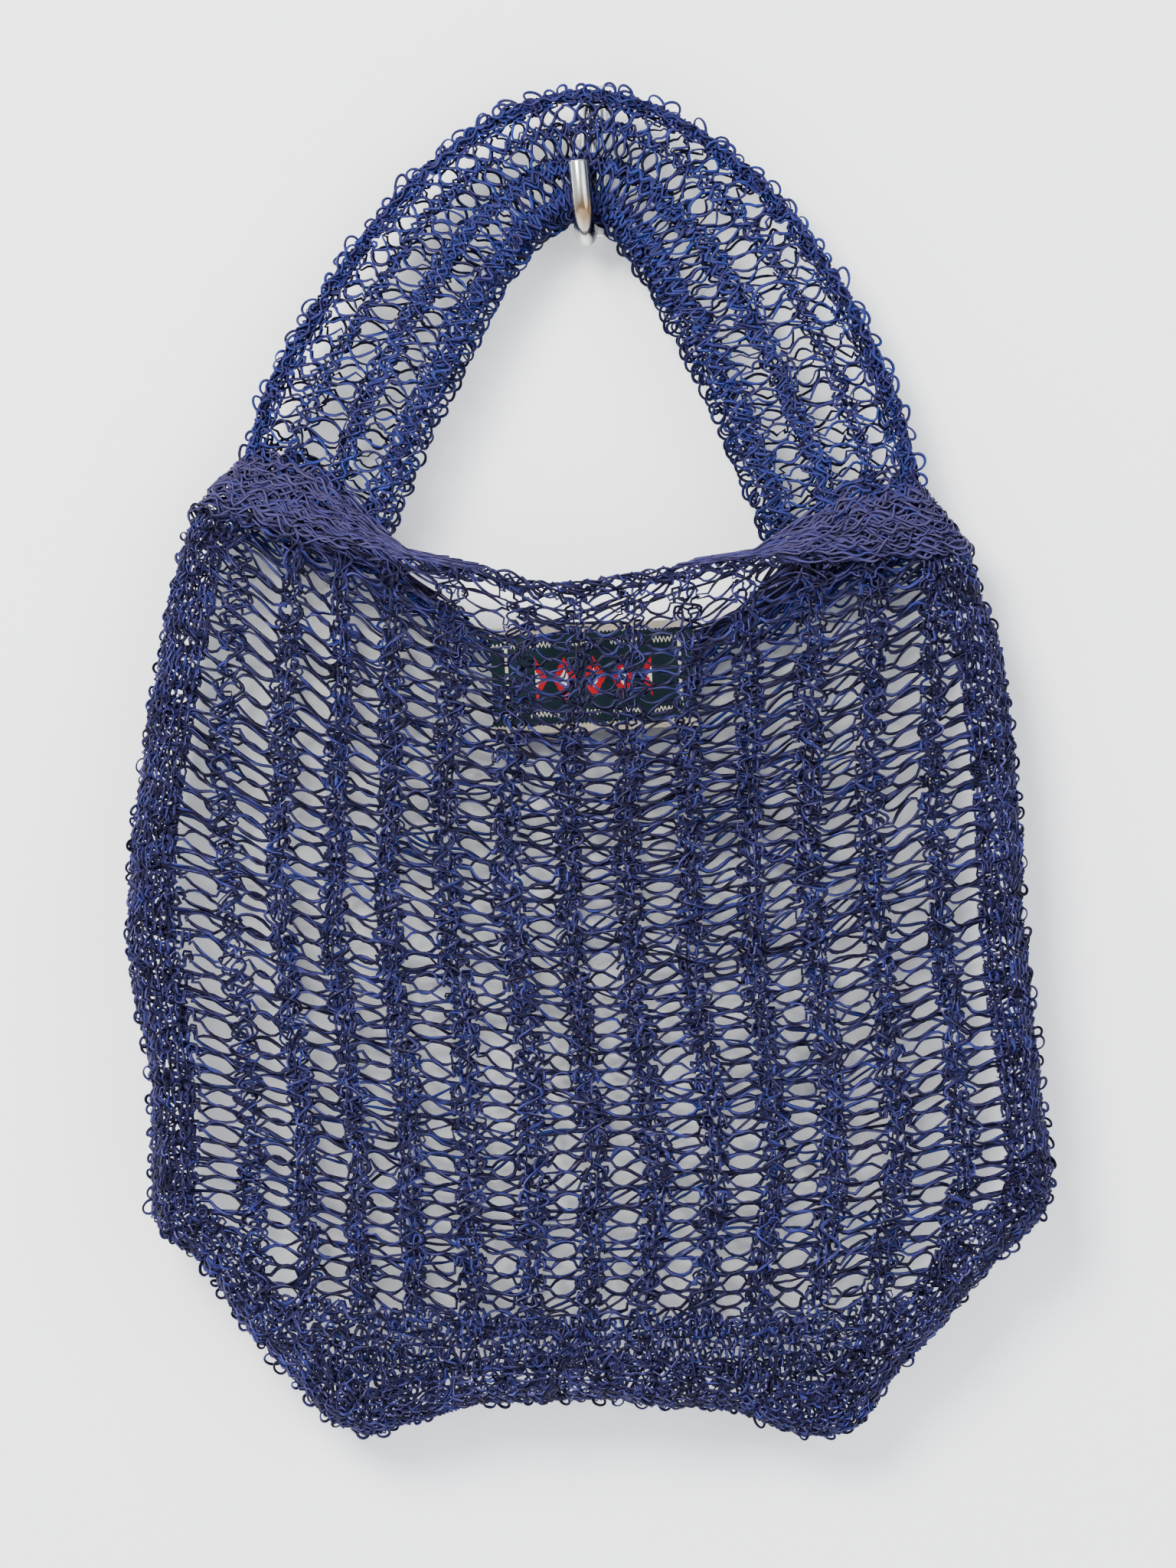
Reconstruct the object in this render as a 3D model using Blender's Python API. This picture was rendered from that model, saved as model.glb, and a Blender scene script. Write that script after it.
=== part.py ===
"""A knitted mesh handbag that hangs by its strap on a plain steel wall hook.

Metres, +Z up. The wall is the plane y = 0 and the front of the bag faces -Y. The origin is the middle
of the back face of the hook's plate. The tables are in millimetres, as seen from the front.
"""

from math import cos, exp, pi, sin

import bmesh
import bpy
import numpy as np
from mathutils import Vector
from mathutils.geometry import delaunay_2d_cdt

MM = 0.001
SEAM_GAP = 0.4  # between pieces that are sewn together, in millimetres
STRAP_SEAM_GAP = 0.75  # the same at the strap's ends, which lie askew on their seams
CURVE_SHARE = 0.05  # each span of a smooth curve is worked out in steps of this share
SMOOTH_ANGLE = 0.7  # faces of the hook that meet at less than this angle are shaded as one, in radians

# The hook: a flat plate with a round rod that runs down it, forward and up
PLATE_WIDTH = 8.0
PLATE_DEPTH = 3.0
PLATE_HEIGHT = 40.0
PLATE_CHAMFER = 0.7
ROD_DIAMETER = 5.4
ROD_SUNK = 0.5  # how far the rod is welded into the plate
ROD_TOP = 15.0
ROD_TIP_TOP = 1.8
ROD_BEND_RADIUS = 8.0
ROD_BEND_HEIGHT = -11.9
ROD_SWAY = -3.1  # the tip stands this far to the left of the stem
ROD_SIDES = 20
ROD_BEND_STEPS = 12

# The outer edge of the bag as x, z, from the left shoulder down, along the bottom and up to the right one
EDGE_ROWS = (
    (-100.5, -90.0),
    (-106.0, -101.0),
    (-109.0, -118.0),
    (-114.0, -144.0),
    (-118.5, -178.0),
    (-119.0, -208.0),
    (-114.5, -236.0),
    (-113.5, -262.0),
    (-112.5, -277.0),
    (-102.0, -286.5),
    (-90.0, -303.0),
    (-77.0, -319.0),
    (-67.0, -329.0),
    (-57.5, -333.0),
    (-47.0, -329.5),
    (-34.0, -325.5),
    (-12.0, -323.5),
    (14.0, -324.0),
    (34.0, -325.5),
    (46.0, -329.5),
    (57.0, -333.5),
    (69.0, -330.0),
    (77.5, -318.0),
    (92.0, -302.0),
    (106.0, -286.0),
    (117.0, -276.0),
    (119.0, -262.0),
    (116.5, -236.0),
    (112.5, -205.0),
    (111.0, -172.0),
    (107.5, -138.0),
    (102.0, -115.0),
    (97.0, -100.5),
)
EDGE_STEP = 11.0

# The two rims of the mouth, from left to right: the back one hangs lower
FRONT_RIM_ROWS = (
    (-100.5, -90.0),
    (-76.0, -97.5),
    (-50.0, -104.0),
    (-26.0, -108.5),
    (-8.0, -112.0),
    (16.0, -108.5),
    (46.0, -104.0),
    (75.0, -102.0),
    (97.0, -100.5),
)
BACK_RIM_ROWS = (
    (-100.5, -90.0),
    (-76.0, -97.0),
    (-58.0, -105.0),
    (-34.0, -120.5),
    (-18.0, -127.0),
    (22.0, -127.5),
    (46.0, -117.5),
    (64.0, -108.0),
    (80.0, -103.0),
    (97.0, -100.5),
)
RIM_STEP = 9.0

# How far the two panels stand from the wall down the middle, and half the bag's depth at its edge
DEPTH_COLUMNS = ("z", "front", "back", "edge")
DEPTH_ROWS = (
    (-335.0, -23.0, -10.0, 5.0),
    (-322.0, -29.0, -7.5, 7.0),
    (-302.0, -36.0, -5.5, 8.5),
    (-270.0, -38.5, -4.5, 8.5),
    (-220.0, -35.5, -4.5, 8.0),
    (-150.0, -29.0, -5.5, 7.0),
    (-112.0, -24.5, -7.0, 6.0),
    (-88.0, -21.0, -8.0, 5.5),
)
EDGE_BULGE = 4.0  # the rounded edge stands this far outside the panels
EDGE_FOLDS = 3  # flat steps round that edge
WAVE_HEIGHT = 1.2  # slow unevenness of the panels
WAVE_LENGTH = 105.0  # from crest to crest across a panel
WAVE_SLANT = 30.0  # the crests lean by one radian in this height
WAVE_FADE = 37.0  # and grow and fade by one radian in this one

# The openwork: lens-shaped holes in columns, each second column half a pitch lower
HOLE_COLUMN_PITCH = 22.0
COLUMN_SPREAD = 0.25  # how far the columns spread with the bag's width: 0 not at all, 1 fully
HOLE_ROW_PITCH = 17.0
HOLE_WIDTH = 15.5
HOLE_HEIGHT = 9.2
HOLE_CORNERS = ((-0.5, 0), (-0.22, -0.5), (0.22, -0.5), (0.5, 0), (0.22, 0.5), (-0.22, 0.5))
HOLE_UNEVENNESS = 0.12  # by this share the holes differ in size
HOLE_DRIFT = 0.9  # and by this much in place
FIRST_HOLE_ROW = -92.0
HOLE_COLUMNS = range(-5, 6)
HOLE_ROWS = range(16)
WELT_WIDTH = 13.0  # the close-knitted strip along the bag's sides and lower corners
BOTTOM_BAND = 17.0  # the close-knitted strip along its bottom
BOTTOM_BELOW = -322.0
BOTTOM_HALF_WIDTH = 70.0
RIM_BAND = 3.5
RIB_HEIGHT = 0.8  # the ribs between the columns of holes stand this far out
GROOVE_DEPTH = 0.9  # where the welt meets the openwork
GROOVE_WIDTH = 3.0

NET_THICKNESS = 1.5

# The strap: where its folded edge and its open edges run, and its depth, from the left end to the right
STRAP_COLUMNS = ("outer_x", "outer_z", "inner_x", "inner_z", "middle_y", "half_depth")
STRAP_ROWS = (
    (-91.0, -78.0, -50.0, -92.5, -14.5, 6.5),
    (-86.5, -62.0, -43.0, -76.0, -14.5, 6.0),
    (-77.0, -44.0, -34.5, -57.0, -14.0, 5.5),
    (-62.0, -22.0, -25.0, -38.0, -13.6, 4.5),
    (-44.0, -2.0, -14.5, -22.5, -13.2, 3.2),
    (-22.5, 13.0, -6.0, -16.2, -13.2, 2.4),
    (-1.0, 18.6, -1.5, -15.6, -13.2, 2.4),
    (20.5, 13.0, 3.5, -16.6, -13.2, 2.4),
    (44.0, -3.5, 10.5, -26.0, -13.2, 3.2),
    (60.0, -22.0, 18.5, -39.0, -13.6, 4.5),
    (73.0, -43.0, 27.0, -56.0, -14.0, 5.5),
    (82.0, -65.0, 36.5, -76.0, -14.5, 6.0),
    (87.5, -86.5, 44.0, -95.0, -14.5, 6.5),
)
STRAP_LENGTH = 300.0  # along the middle of the band
STRAP_STEP = 9.0
STRAP_HALF_WIDTH = 40.0  # from the fold to an open edge, laid flat
STRAP_FOLD_LINES = (0.0, 3.0, 8.0)  # rows of points that round the fold
STRAP_HOLE_LINES = (15.5, 29.5)
STRAP_HOLE_PITCH = 13.2
STRAP_HOLE_LENGTH = 8.6
STRAP_HOLE_WIDTH = 9.0
STRAP_HOLE_MARGIN = 5.0
FOLD_SHARPNESS = 3.2
FOLD_POWER = 1.25

# The gathered seams where the strap joins the bag
SHOULDER_INNER_LEFT = -50.0
SHOULDER_INNER_RIGHT = 45.0
SHOULDER_COLUMNS = 26
SHOULDER_LEVELS = 4
SHOULDER_THICKNESS = 2.6
SHOULDER_PUFF = 1.1
SHOULDER_PLEATS = 9
PLEAT_DEPTH = 0.4  # how much of the puff comes and goes with the pleats
GATHER_REACH = 20.0  # the gathers bulge away from an upright axis this far inside them
GATHER_DEPTH = -14.5  # where that axis stands from the wall
SHOULDER_EDGE_SHARE = 0.12  # how much of the seam's run goes round the bag's edge
SHOULDER_RISE = 0.1  # the seam's middle stands this share of its thickness above the gap

# The label, sewn inside the back panel at its rim
LABEL_WIDTH = 51.5
LABEL_HEIGHT = 26.0
LABEL_THICKNESS = 0.9
LABEL_CENTRE_X = 0.9
LABEL_CENTRE_Z = -135.0
LABEL_TILT = 0.05
LABEL_CLEARANCE = 0.5
LABEL_COLUMNS = 12
LABEL_LEVELS = 6


def smooth_curve(rows, step):
    """Points at about equal steps along a Catmull-Rom curve through the rows, both ends included."""
    points = np.array(rows, float)
    padded = np.vstack((2 * points[0] - points[1], points, 2 * points[-1] - points[-2]))
    fine = []
    for a, b, c, d in zip(padded, padded[1:], padded[2:], padded[3:]):
        for t in np.arange(0.0, 1.0, CURVE_SHARE):
            fine.append(
                0.5 * (2 * b + (c - a) * t + (2 * a - 5 * b + 4 * c - d) * t**2)
                + 0.5 * (3 * b - a - 3 * c + d) * t**3
            )
    fine = np.vstack((fine, points[-1]))
    run = np.concatenate(([0.0], np.cumsum(np.linalg.norm(np.diff(fine, axis=0), axis=1))))
    marks = np.linspace(0.0, run[-1], max(2, round(run[-1] / step) + 1))
    return np.column_stack([np.interp(marks, run, fine[:, k]) for k in range(fine.shape[1])])


def column(rows, names, name):
    return np.array([row[names.index(name)] for row in rows])


EDGE = smooth_curve(EDGE_ROWS, EDGE_STEP)
FRONT_RIM = smooth_curve(FRONT_RIM_ROWS, RIM_STEP)
BACK_RIM = smooth_curve(BACK_RIM_ROWS, RIM_STEP)
STRAP_CURVE = smooth_curve(STRAP_ROWS, STRAP_LENGTH / 60)
BAG_WIDTH = EDGE[:, 0].max() - EDGE[:, 0].min()


def inset(curve, distance):
    """The curve moved to its left, which is inwards on a run that goes counterclockwise."""
    along = np.gradient(curve, axis=0)
    along /= np.linalg.norm(along, axis=1)[:, None]
    return curve + distance * np.column_stack((-along[:, 1], along[:, 0]))


def sides_at(z):
    """The left and right ends of the bag at a height."""
    lowest = np.argmin(EDGE[:, 1][: len(EDGE) // 2])
    last = len(EDGE) - 1 - np.argmin(EDGE[::-1, 1][: len(EDGE) // 2])
    left = np.interp(-z, -EDGE[: lowest + 1, 1], EDGE[: lowest + 1, 0])
    right = np.interp(z, EDGE[last:, 1], EDGE[last:, 0])
    return left, right


def column_pitch(z):
    """The columns of holes follow the bag's width a little."""
    left, right = sides_at(z)
    return HOLE_COLUMN_PITCH * (1.0 - COLUMN_SPREAD + COLUMN_SPREAD * (right - left) / BAG_WIDTH)


def panel_depth(x, z, side, relief=1.0):
    """Where the front panel (side -1) or the back panel (side 1) stands, measured out from the wall."""
    heights = column(DEPTH_ROWS, DEPTH_COLUMNS, "z")
    front = np.interp(z, heights, column(DEPTH_ROWS, DEPTH_COLUMNS, "front"))
    back = np.interp(z, heights, column(DEPTH_ROWS, DEPTH_COLUMNS, "back"))
    edge = np.interp(z, heights, column(DEPTH_ROWS, DEPTH_COLUMNS, "edge"))
    left, right = sides_at(z)
    across = min(1.0, abs(2 * x - left - right) / (right - left))
    crown = 1.0 - across**3
    half = edge + ((back - front) / 2 - edge) * crown
    crest = sin(2 * pi * x / WAVE_LENGTH + z / WAVE_SLANT + side)
    wave = WAVE_HEIGHT * crest * sin(z / WAVE_FADE + side) * crown
    rib = -RIB_HEIGHT * cos(2 * pi * (x - (left + right) / 2) / column_pitch(z)) * crown
    inwards = distance_to(np.array([(x, z)]), EDGE) - WELT_WIDTH
    groove = GROOVE_DEPTH * exp(-((inwards / GROOVE_WIDTH) ** 2))
    return (front + back) / 2 + side * (half + wave * (side < 0) + relief * (rib - groove))


def lens(x, z, width, height):
    """A six-sided lens-shaped hole, pointed at its left and right."""
    return np.array([(x + u * width, z + v * height) for u, v in HOLE_CORNERS])


def distance_to(points, curve):
    """The least distance from any of the points to the curve."""
    start, step = curve[:-1], np.diff(curve, axis=0)
    reach = points[:, None] - start[None]
    share = np.clip((reach * step).sum(2) / (step**2).sum(1), 0.0, 1.0)
    return np.linalg.norm(reach - share[..., None] * step, axis=2).min()


def inside(point, outline):
    x, z = point
    ahead = np.roll(outline, -1, axis=0)
    crosses = (outline[:, 1] > z) != (ahead[:, 1] > z)
    a, b = outline[crosses], ahead[crosses]
    return np.sum(x < a[:, 0] + (z - a[:, 1]) / (b[:, 1] - a[:, 1]) * (b[:, 0] - a[:, 0])) % 2 == 1


def panel_holes(rim, outline):
    """The holes of one panel: columns that follow the bag's sides a little, clear of welts and rims."""
    holes = []
    bottom = EDGE[(EDGE[:, 1] < BOTTOM_BELOW) & (abs(EDGE[:, 0]) < BOTTOM_HALF_WIDTH)]
    for c in HOLE_COLUMNS:
        for r in HOLE_ROWS:
            z = FIRST_HOLE_ROW - HOLE_ROW_PITCH * (r + 0.5 * (c % 2))
            z += HOLE_DRIFT * sin(2.3 * c + 1.7 * r)
            x = sum(sides_at(z)) / 2 + column_pitch(z) * c + HOLE_DRIFT * sin(1.9 * c - 2.6 * r)
            size = 1.0 + HOLE_UNEVENNESS * sin(3.1 * c + 4.3 * r)
            hole = lens(x, z, HOLE_WIDTH * size, HOLE_HEIGHT * size)
            clear_of_edge = distance_to(hole, EDGE) > WELT_WIDTH
            clear_of_band = distance_to(hole, bottom) > BOTTOM_BAND
            clear_of_rim = distance_to(hole, rim) > RIM_BAND
            if clear_of_edge and clear_of_band and clear_of_rim and inside((x, z), outline):
                holes.append(hole)
    return holes


def net_sheet(outline, holes, supports):
    """Fills a flat outline round its holes: points, triangles and the index of each outline point."""
    flat = [Vector(p) for p in np.vstack([outline, *holes, *supports])]
    edges = [(i, (i + 1) % len(outline)) for i in range(len(outline))]
    start = len(outline)
    for hole in holes:
        edges += [(start + i, start + (i + 1) % len(hole)) for i in range(len(hole))]
        start += len(hole)
    points, _, triangles, origins, _, _ = delaunay_2d_cdt(flat, edges, [], 0, 1e-5)
    points = np.array([tuple(p) for p in points])
    kept = []
    for triangle in triangles:
        middle = points[list(triangle)].mean(axis=0)
        if inside(middle, outline) and not any(
            abs(middle - hole.mean(axis=0)).max() < HOLE_WIDTH and inside(middle, hole) for hole in holes
        ):
            kept.append(triangle)
    index_of = {origin: new for new, found in enumerate(origins) for origin in found}
    return points, kept, [index_of[i] for i in range(len(outline))]


def add_sheet(shell, points, triangles, place, flip):
    """Puts a flat net into the shell, each point where the place function says."""
    verts = [shell.verts.new([v * MM for v in place(*p)]) for p in points]
    for triangle in triangles:
        order = reversed(triangle) if flip else triangle
        shell.faces.new([verts[i] for i in order])
    return verts


def material(name, colour, roughness, metallic=0.0):
    made = bpy.data.materials.new(name)
    made.use_nodes = True
    surface = made.node_tree.nodes["Principled BSDF"]
    surface.inputs["Base Color"].default_value = (*colour, 1.0)
    surface.inputs["Roughness"].default_value = roughness
    surface.inputs["Metallic"].default_value = metallic
    return made


def add_object(name, shell, made_of, smooth=False):
    mesh = bpy.data.meshes.new(name)
    shell.to_mesh(mesh)
    shell.free()
    if smooth:
        mesh.shade_smooth()
        mesh.set_sharp_from_angle(angle=SMOOTH_ANGLE)
    mesh.materials.append(made_of)
    piece = bpy.data.objects.new(name, mesh)
    bpy.context.scene.collection.objects.link(piece)
    return piece


def thicken(piece, thickness, offset):
    wall = piece.modifiers.new("thickness", "SOLIDIFY")
    wall.thickness = thickness * MM
    wall.offset = offset
    wall.use_even_offset = False
    return wall


def bag_body(yarn):
    """Two openwork panels and the close-knitted edge that joins them along the sides and the bottom."""
    shell = bmesh.new()
    edge = inset(EDGE, EDGE_BULGE)
    welt = inset(EDGE, WELT_WIDTH - 1.0)[2:-2:2]
    sheets = []
    for side, rim in ((-1, FRONT_RIM), (1, BACK_RIM)):
        outline = np.vstack((edge, rim[-2:0:-1]))
        holes = panel_holes(rim, outline)
        points, triangles, order = net_sheet(outline, holes, [welt])
        verts = add_sheet(
            shell, points, triangles, lambda x, z, s=side: (x, panel_depth(x, z, s), z), side > 0
        )
        sheets.append([verts[i] for i in order[: len(edge)]])
    rows = [sheets[0]]
    for fold in range(1, EDGE_FOLDS):
        angle = pi * (fold / EDGE_FOLDS - 0.5)
        out = inset(EDGE, EDGE_BULGE * (1 - cos(angle)))
        row = []
        for front, back, (x, z) in zip(sheets[0], sheets[1], out):
            middle = (front.co.y + back.co.y) / 2
            half = (back.co.y - front.co.y) / 2
            row.append(shell.verts.new((x * MM, middle + half * sin(angle), z * MM)))
        rows.append(row)
    rows.append(sheets[1])
    for front, back in zip(rows, rows[1:]):
        for i in range(len(edge) - 1):
            shell.faces.new((front[i + 1], front[i], back[i], back[i + 1]))
    body = add_object("bag_body", shell, yarn)
    thicken(body, NET_THICKNESS, -1.0)
    return body


def strap_point(along, across):
    """A point of the strap: along runs from 0 to 1, across from -1 (front edge) by 0 (fold) to 1."""
    marks = np.linspace(0.0, 1.0, len(STRAP_CURVE))
    row = [np.interp(along, marks, STRAP_CURVE[:, k]) for k in range(len(STRAP_COLUMNS))]
    outer_x, outer_z, inner_x, inner_z, middle, half = row
    width = 1.0 - abs(across) ** FOLD_POWER
    depth = np.tanh(FOLD_SHARPNESS * across) / np.tanh(FOLD_SHARPNESS)
    x = inner_x + (outer_x - inner_x) * width
    z = inner_z + (outer_z - inner_z) * width
    return x, middle + half * depth, z


def strap(yarn):
    """The handle band, folded lengthways, laid out flat as a net and then bent over the hook."""
    shell = bmesh.new()
    along = np.linspace(0.0, STRAP_LENGTH, round(STRAP_LENGTH / STRAP_STEP) + 1)
    across = np.linspace(-STRAP_HALF_WIDTH, STRAP_HALF_WIDTH, 11)
    outline = np.vstack(
        (
            [(a, -STRAP_HALF_WIDTH) for a in along],
            [(STRAP_LENGTH, b) for b in across[1:-1]],
            [(a, STRAP_HALF_WIDTH) for a in along[::-1]],
            [(0.0, b) for b in across[-2:0:-1]],
        )
    )
    holes = []
    for number, line in enumerate(STRAP_HOLE_LINES):
        first = STRAP_HOLE_PITCH * (0.5 + 0.5 * (number % 2)) + STRAP_HOLE_MARGIN
        for a in np.arange(first, STRAP_LENGTH - STRAP_HOLE_MARGIN - STRAP_HOLE_LENGTH / 2, STRAP_HOLE_PITCH):
            for b in (line, -line):
                holes.append(lens(a, b, STRAP_HOLE_LENGTH, STRAP_HOLE_WIDTH))
    folds = [(a, s * b) for b in STRAP_FOLD_LINES for s in (-1, 1) for a in along[1:-1] if b or s > 0]
    points, triangles, _ = net_sheet(outline, holes, [np.array(folds)])
    add_sheet(
        shell,
        points,
        triangles,
        lambda a, b: strap_point(a / STRAP_LENGTH, b / STRAP_HALF_WIDTH),
        False,
    )
    band = add_object("strap", shell, yarn)
    thicken(band, NET_THICKNESS, 0.0)
    return band


def rim_point(across, inner, end, raised):
    """A point just above the bag's rim: across -1 is on the front at inner, 0 on the edge, 1 on the back."""
    edge_x, edge_z = EDGE[end]
    sign = 1.0 if edge_x > 0 else -1.0
    side = -1 if across < 0 else 1
    rim = FRONT_RIM if side < 0 else BACK_RIM
    panel_end = edge_x - sign * EDGE_BULGE
    if abs(across) > SHOULDER_EDGE_SHARE:
        share = (abs(across) - SHOULDER_EDGE_SHARE) / (1.0 - SHOULDER_EDGE_SHARE)
        x = panel_end + (inner - panel_end) * share
        z = np.interp(x, rim[:, 0], rim[:, 1])
        return x, panel_depth(x, z, side), z + raised
    angle = 0.5 * pi * across / SHOULDER_EDGE_SHARE
    front, back = panel_depth(panel_end, edge_z, -1), panel_depth(panel_end, edge_z, 1)
    x = panel_end + sign * EDGE_BULGE * cos(angle)
    return x, (front + back) / 2 + (back - front) / 2 * sin(angle), edge_z + raised


def shoulder(name, yarn, inner, end, strap_end):
    """A gathered seam: a puckered band that runs round the front, the edge and the back."""
    shell = bmesh.new()
    grid = []
    raised = SEAM_GAP + SHOULDER_THICKNESS * SHOULDER_RISE
    next_along = abs(strap_end - 1.0 / len(STRAP_CURVE))
    for across in np.linspace(-1.0, 1.0, SHOULDER_COLUMNS + 1):
        low = np.array(rim_point(across, inner, end, raised))
        high = np.array(strap_point(strap_end, across))
        away = high - np.array(strap_point(next_along, across))
        high += away / np.linalg.norm(away) * STRAP_SEAM_GAP
        middle = np.array(((low[0] + high[0]) / 2 - np.sign(inner) * GATHER_REACH, GATHER_DEPTH, low[2]))
        out = (low + high) / 2 - middle
        out[2] = 0.0
        out /= np.linalg.norm(out)
        row = []
        for share in np.linspace(0.0, 1.0, SHOULDER_LEVELS + 1):
            pleat = 1.0 - PLEAT_DEPTH + PLEAT_DEPTH * cos(2 * pi * SHOULDER_PLEATS * across)
            puff = SHOULDER_PUFF * sin(pi * share) * pleat
            row.append(shell.verts.new((low + (high - low) * share + out * puff) * MM))
        grid.append(row)
    for a, b in zip(grid, grid[1:]):
        for i in range(SHOULDER_LEVELS):
            order = (a[i], b[i], b[i + 1], a[i + 1])
            shell.faces.new(order if inner < 0 else order[::-1])
    band = add_object(name, shell, yarn)
    thicken(band, SHOULDER_THICKNESS, 0.0)
    return band


def label(woven):
    """A woven label that follows the inside of the back panel."""
    shell = bmesh.new()
    grid = []
    for u in np.linspace(-0.5, 0.5, LABEL_COLUMNS + 1):
        row = []
        for v in np.linspace(-0.5, 0.5, LABEL_LEVELS + 1):
            x = LABEL_CENTRE_X + LABEL_WIDTH * u * cos(LABEL_TILT) - LABEL_HEIGHT * v * sin(LABEL_TILT)
            z = LABEL_CENTRE_Z + LABEL_WIDTH * u * sin(LABEL_TILT) + LABEL_HEIGHT * v * cos(LABEL_TILT)
            y = panel_depth(x, z, 1, relief=0.0) - RIB_HEIGHT - NET_THICKNESS - LABEL_CLEARANCE
            row.append(shell.verts.new((x * MM, y * MM, z * MM)))
        grid.append(row)
    for a, b in zip(grid, grid[1:]):
        for i in range(LABEL_LEVELS):
            shell.faces.new((a[i], b[i], b[i + 1], a[i + 1]))
    plate = add_object("label", shell, woven)
    thicken(plate, LABEL_THICKNESS, 1.0)
    return plate


def hook_path():
    """The rod's middle line: down the plate, round the bend and up to the tip."""
    stem_y = -PLATE_DEPTH - ROD_DIAMETER / 2 + ROD_SUNK
    arm_y = stem_y - 2 * ROD_BEND_RADIUS
    path = [(0.0, stem_y, ROD_TOP)]
    for step in range(ROD_BEND_STEPS + 1):
        angle = pi * step / ROD_BEND_STEPS
        y = (stem_y + arm_y) / 2 + ROD_BEND_RADIUS * cos(angle)
        path.append((0.0, y, ROD_BEND_HEIGHT - ROD_BEND_RADIUS * sin(angle)))
    path.append((0.0, arm_y, ROD_TIP_TOP))
    path = np.array(path)
    run = np.concatenate(([0.0], np.cumsum(np.linalg.norm(np.diff(path, axis=0), axis=1))))
    share = np.clip((run - run[1]) / (run[-1] - run[1]), 0.0, 1.0)
    path[:, 0] = ROD_SWAY * share
    return path


def hook(steel):
    """The plate and the rod, united into one piece."""
    shell = bmesh.new()
    bmesh.ops.create_cube(shell, size=1.0)
    for vert in shell.verts:
        vert.co.x *= PLATE_WIDTH * MM
        vert.co.y = (vert.co.y - 0.5) * PLATE_DEPTH * MM
        vert.co.z *= PLATE_HEIGHT * MM
    front_edges = [e for e in shell.edges if all(v.co.y < -0.5 * PLATE_DEPTH * MM for v in e.verts)]
    bmesh.ops.bevel(
        shell, geom=front_edges, offset=PLATE_CHAMFER * MM, segments=2, profile=0.5, affect="EDGES"
    )
    plate = add_object("hook", shell, steel, smooth=True)

    rod = bmesh.new()
    path = hook_path()
    directions = np.gradient(path, axis=0)
    directions /= np.linalg.norm(directions, axis=1)[:, None]
    sideways = np.array((1.0, 0.0, 0.0))
    rings = []
    radius = ROD_DIAMETER / 2
    stations = [(p, d, radius) for p, d in zip(path, directions)]
    for end, inwards in ((0, 1), (-1, -1)):
        p, d, _ = stations[end]
        rim = (p, d, radius - PLATE_CHAMFER / 2)
        stations[end] = (p + inwards * d * PLATE_CHAMFER / 2, d, radius)
        stations.insert(0 if end == 0 else len(stations), rim)
    for point, direction, size in stations:
        u = sideways - direction * direction.dot(sideways)
        u /= np.linalg.norm(u)
        v = np.cross(direction, u)
        ring = []
        for k in range(ROD_SIDES):
            angle = 2 * pi * k / ROD_SIDES
            ring.append(rod.verts.new((point + size * (cos(angle) * u + sin(angle) * v)) * MM))
        rings.append(ring)
    for a, b in zip(rings, rings[1:]):
        for k in range(ROD_SIDES):
            rod.faces.new((a[k], a[(k + 1) % ROD_SIDES], b[(k + 1) % ROD_SIDES], b[k]))
    rod.faces.new(rings[0][::-1])
    rod.faces.new(rings[-1])
    bmesh.ops.recalc_face_normals(rod, faces=rod.faces)
    rod_piece = add_object("hook_rod", rod, steel, smooth=True)
    rod_piece.hide_render = True
    rod_piece.display_type = "WIRE"

    weld = plate.modifiers.new("weld", "BOOLEAN")
    weld.operation = "UNION"
    weld.solver = "EXACT"
    weld.object = rod_piece
    return plate


def main():
    for old in list(bpy.data.objects):
        bpy.data.objects.remove(old)
    yarn = material("navy_yarn", (0.035, 0.05, 0.19), 0.45)
    strap_yarn = material("navy_strap_yarn", (0.04, 0.06, 0.22), 0.45)
    seam_yarn = material("navy_seam_yarn", (0.045, 0.045, 0.12), 0.55)
    woven = material("green_label", (0.02, 0.05, 0.06), 0.8)
    steel = material("polished_steel", (0.6, 0.58, 0.54), 0.2, 1.0)
    hook(steel)
    bag_body(yarn)
    strap(strap_yarn)
    shoulder("shoulder_left", seam_yarn, SHOULDER_INNER_LEFT, 0, 0.0)
    shoulder("shoulder_right", seam_yarn, SHOULDER_INNER_RIGHT, -1, 1.0)
    label(woven)


main()
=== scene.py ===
# %% [markdown]
# # A knitted mesh handbag on a wall hook
#
# The real bag is one long flat yarn, knitted with lace holes into a net. There is no cloth to texture:
# what you see is the yarn itself, in two layers, with the wall showing through. So this scene models
# the yarn. Every course of the knitting is a path worked out with numpy, laid on the same surfaces that
# the imported solids follow, and swept into a thin flat tube.
#
# The first cell loads the imported model as a fixed frame, with each part's placement baked into its mesh.
# The finished bag has to stay the size of its solids.

from math import pi

import bpy
import numpy as np
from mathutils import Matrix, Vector
from numpy.random import default_rng


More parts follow.
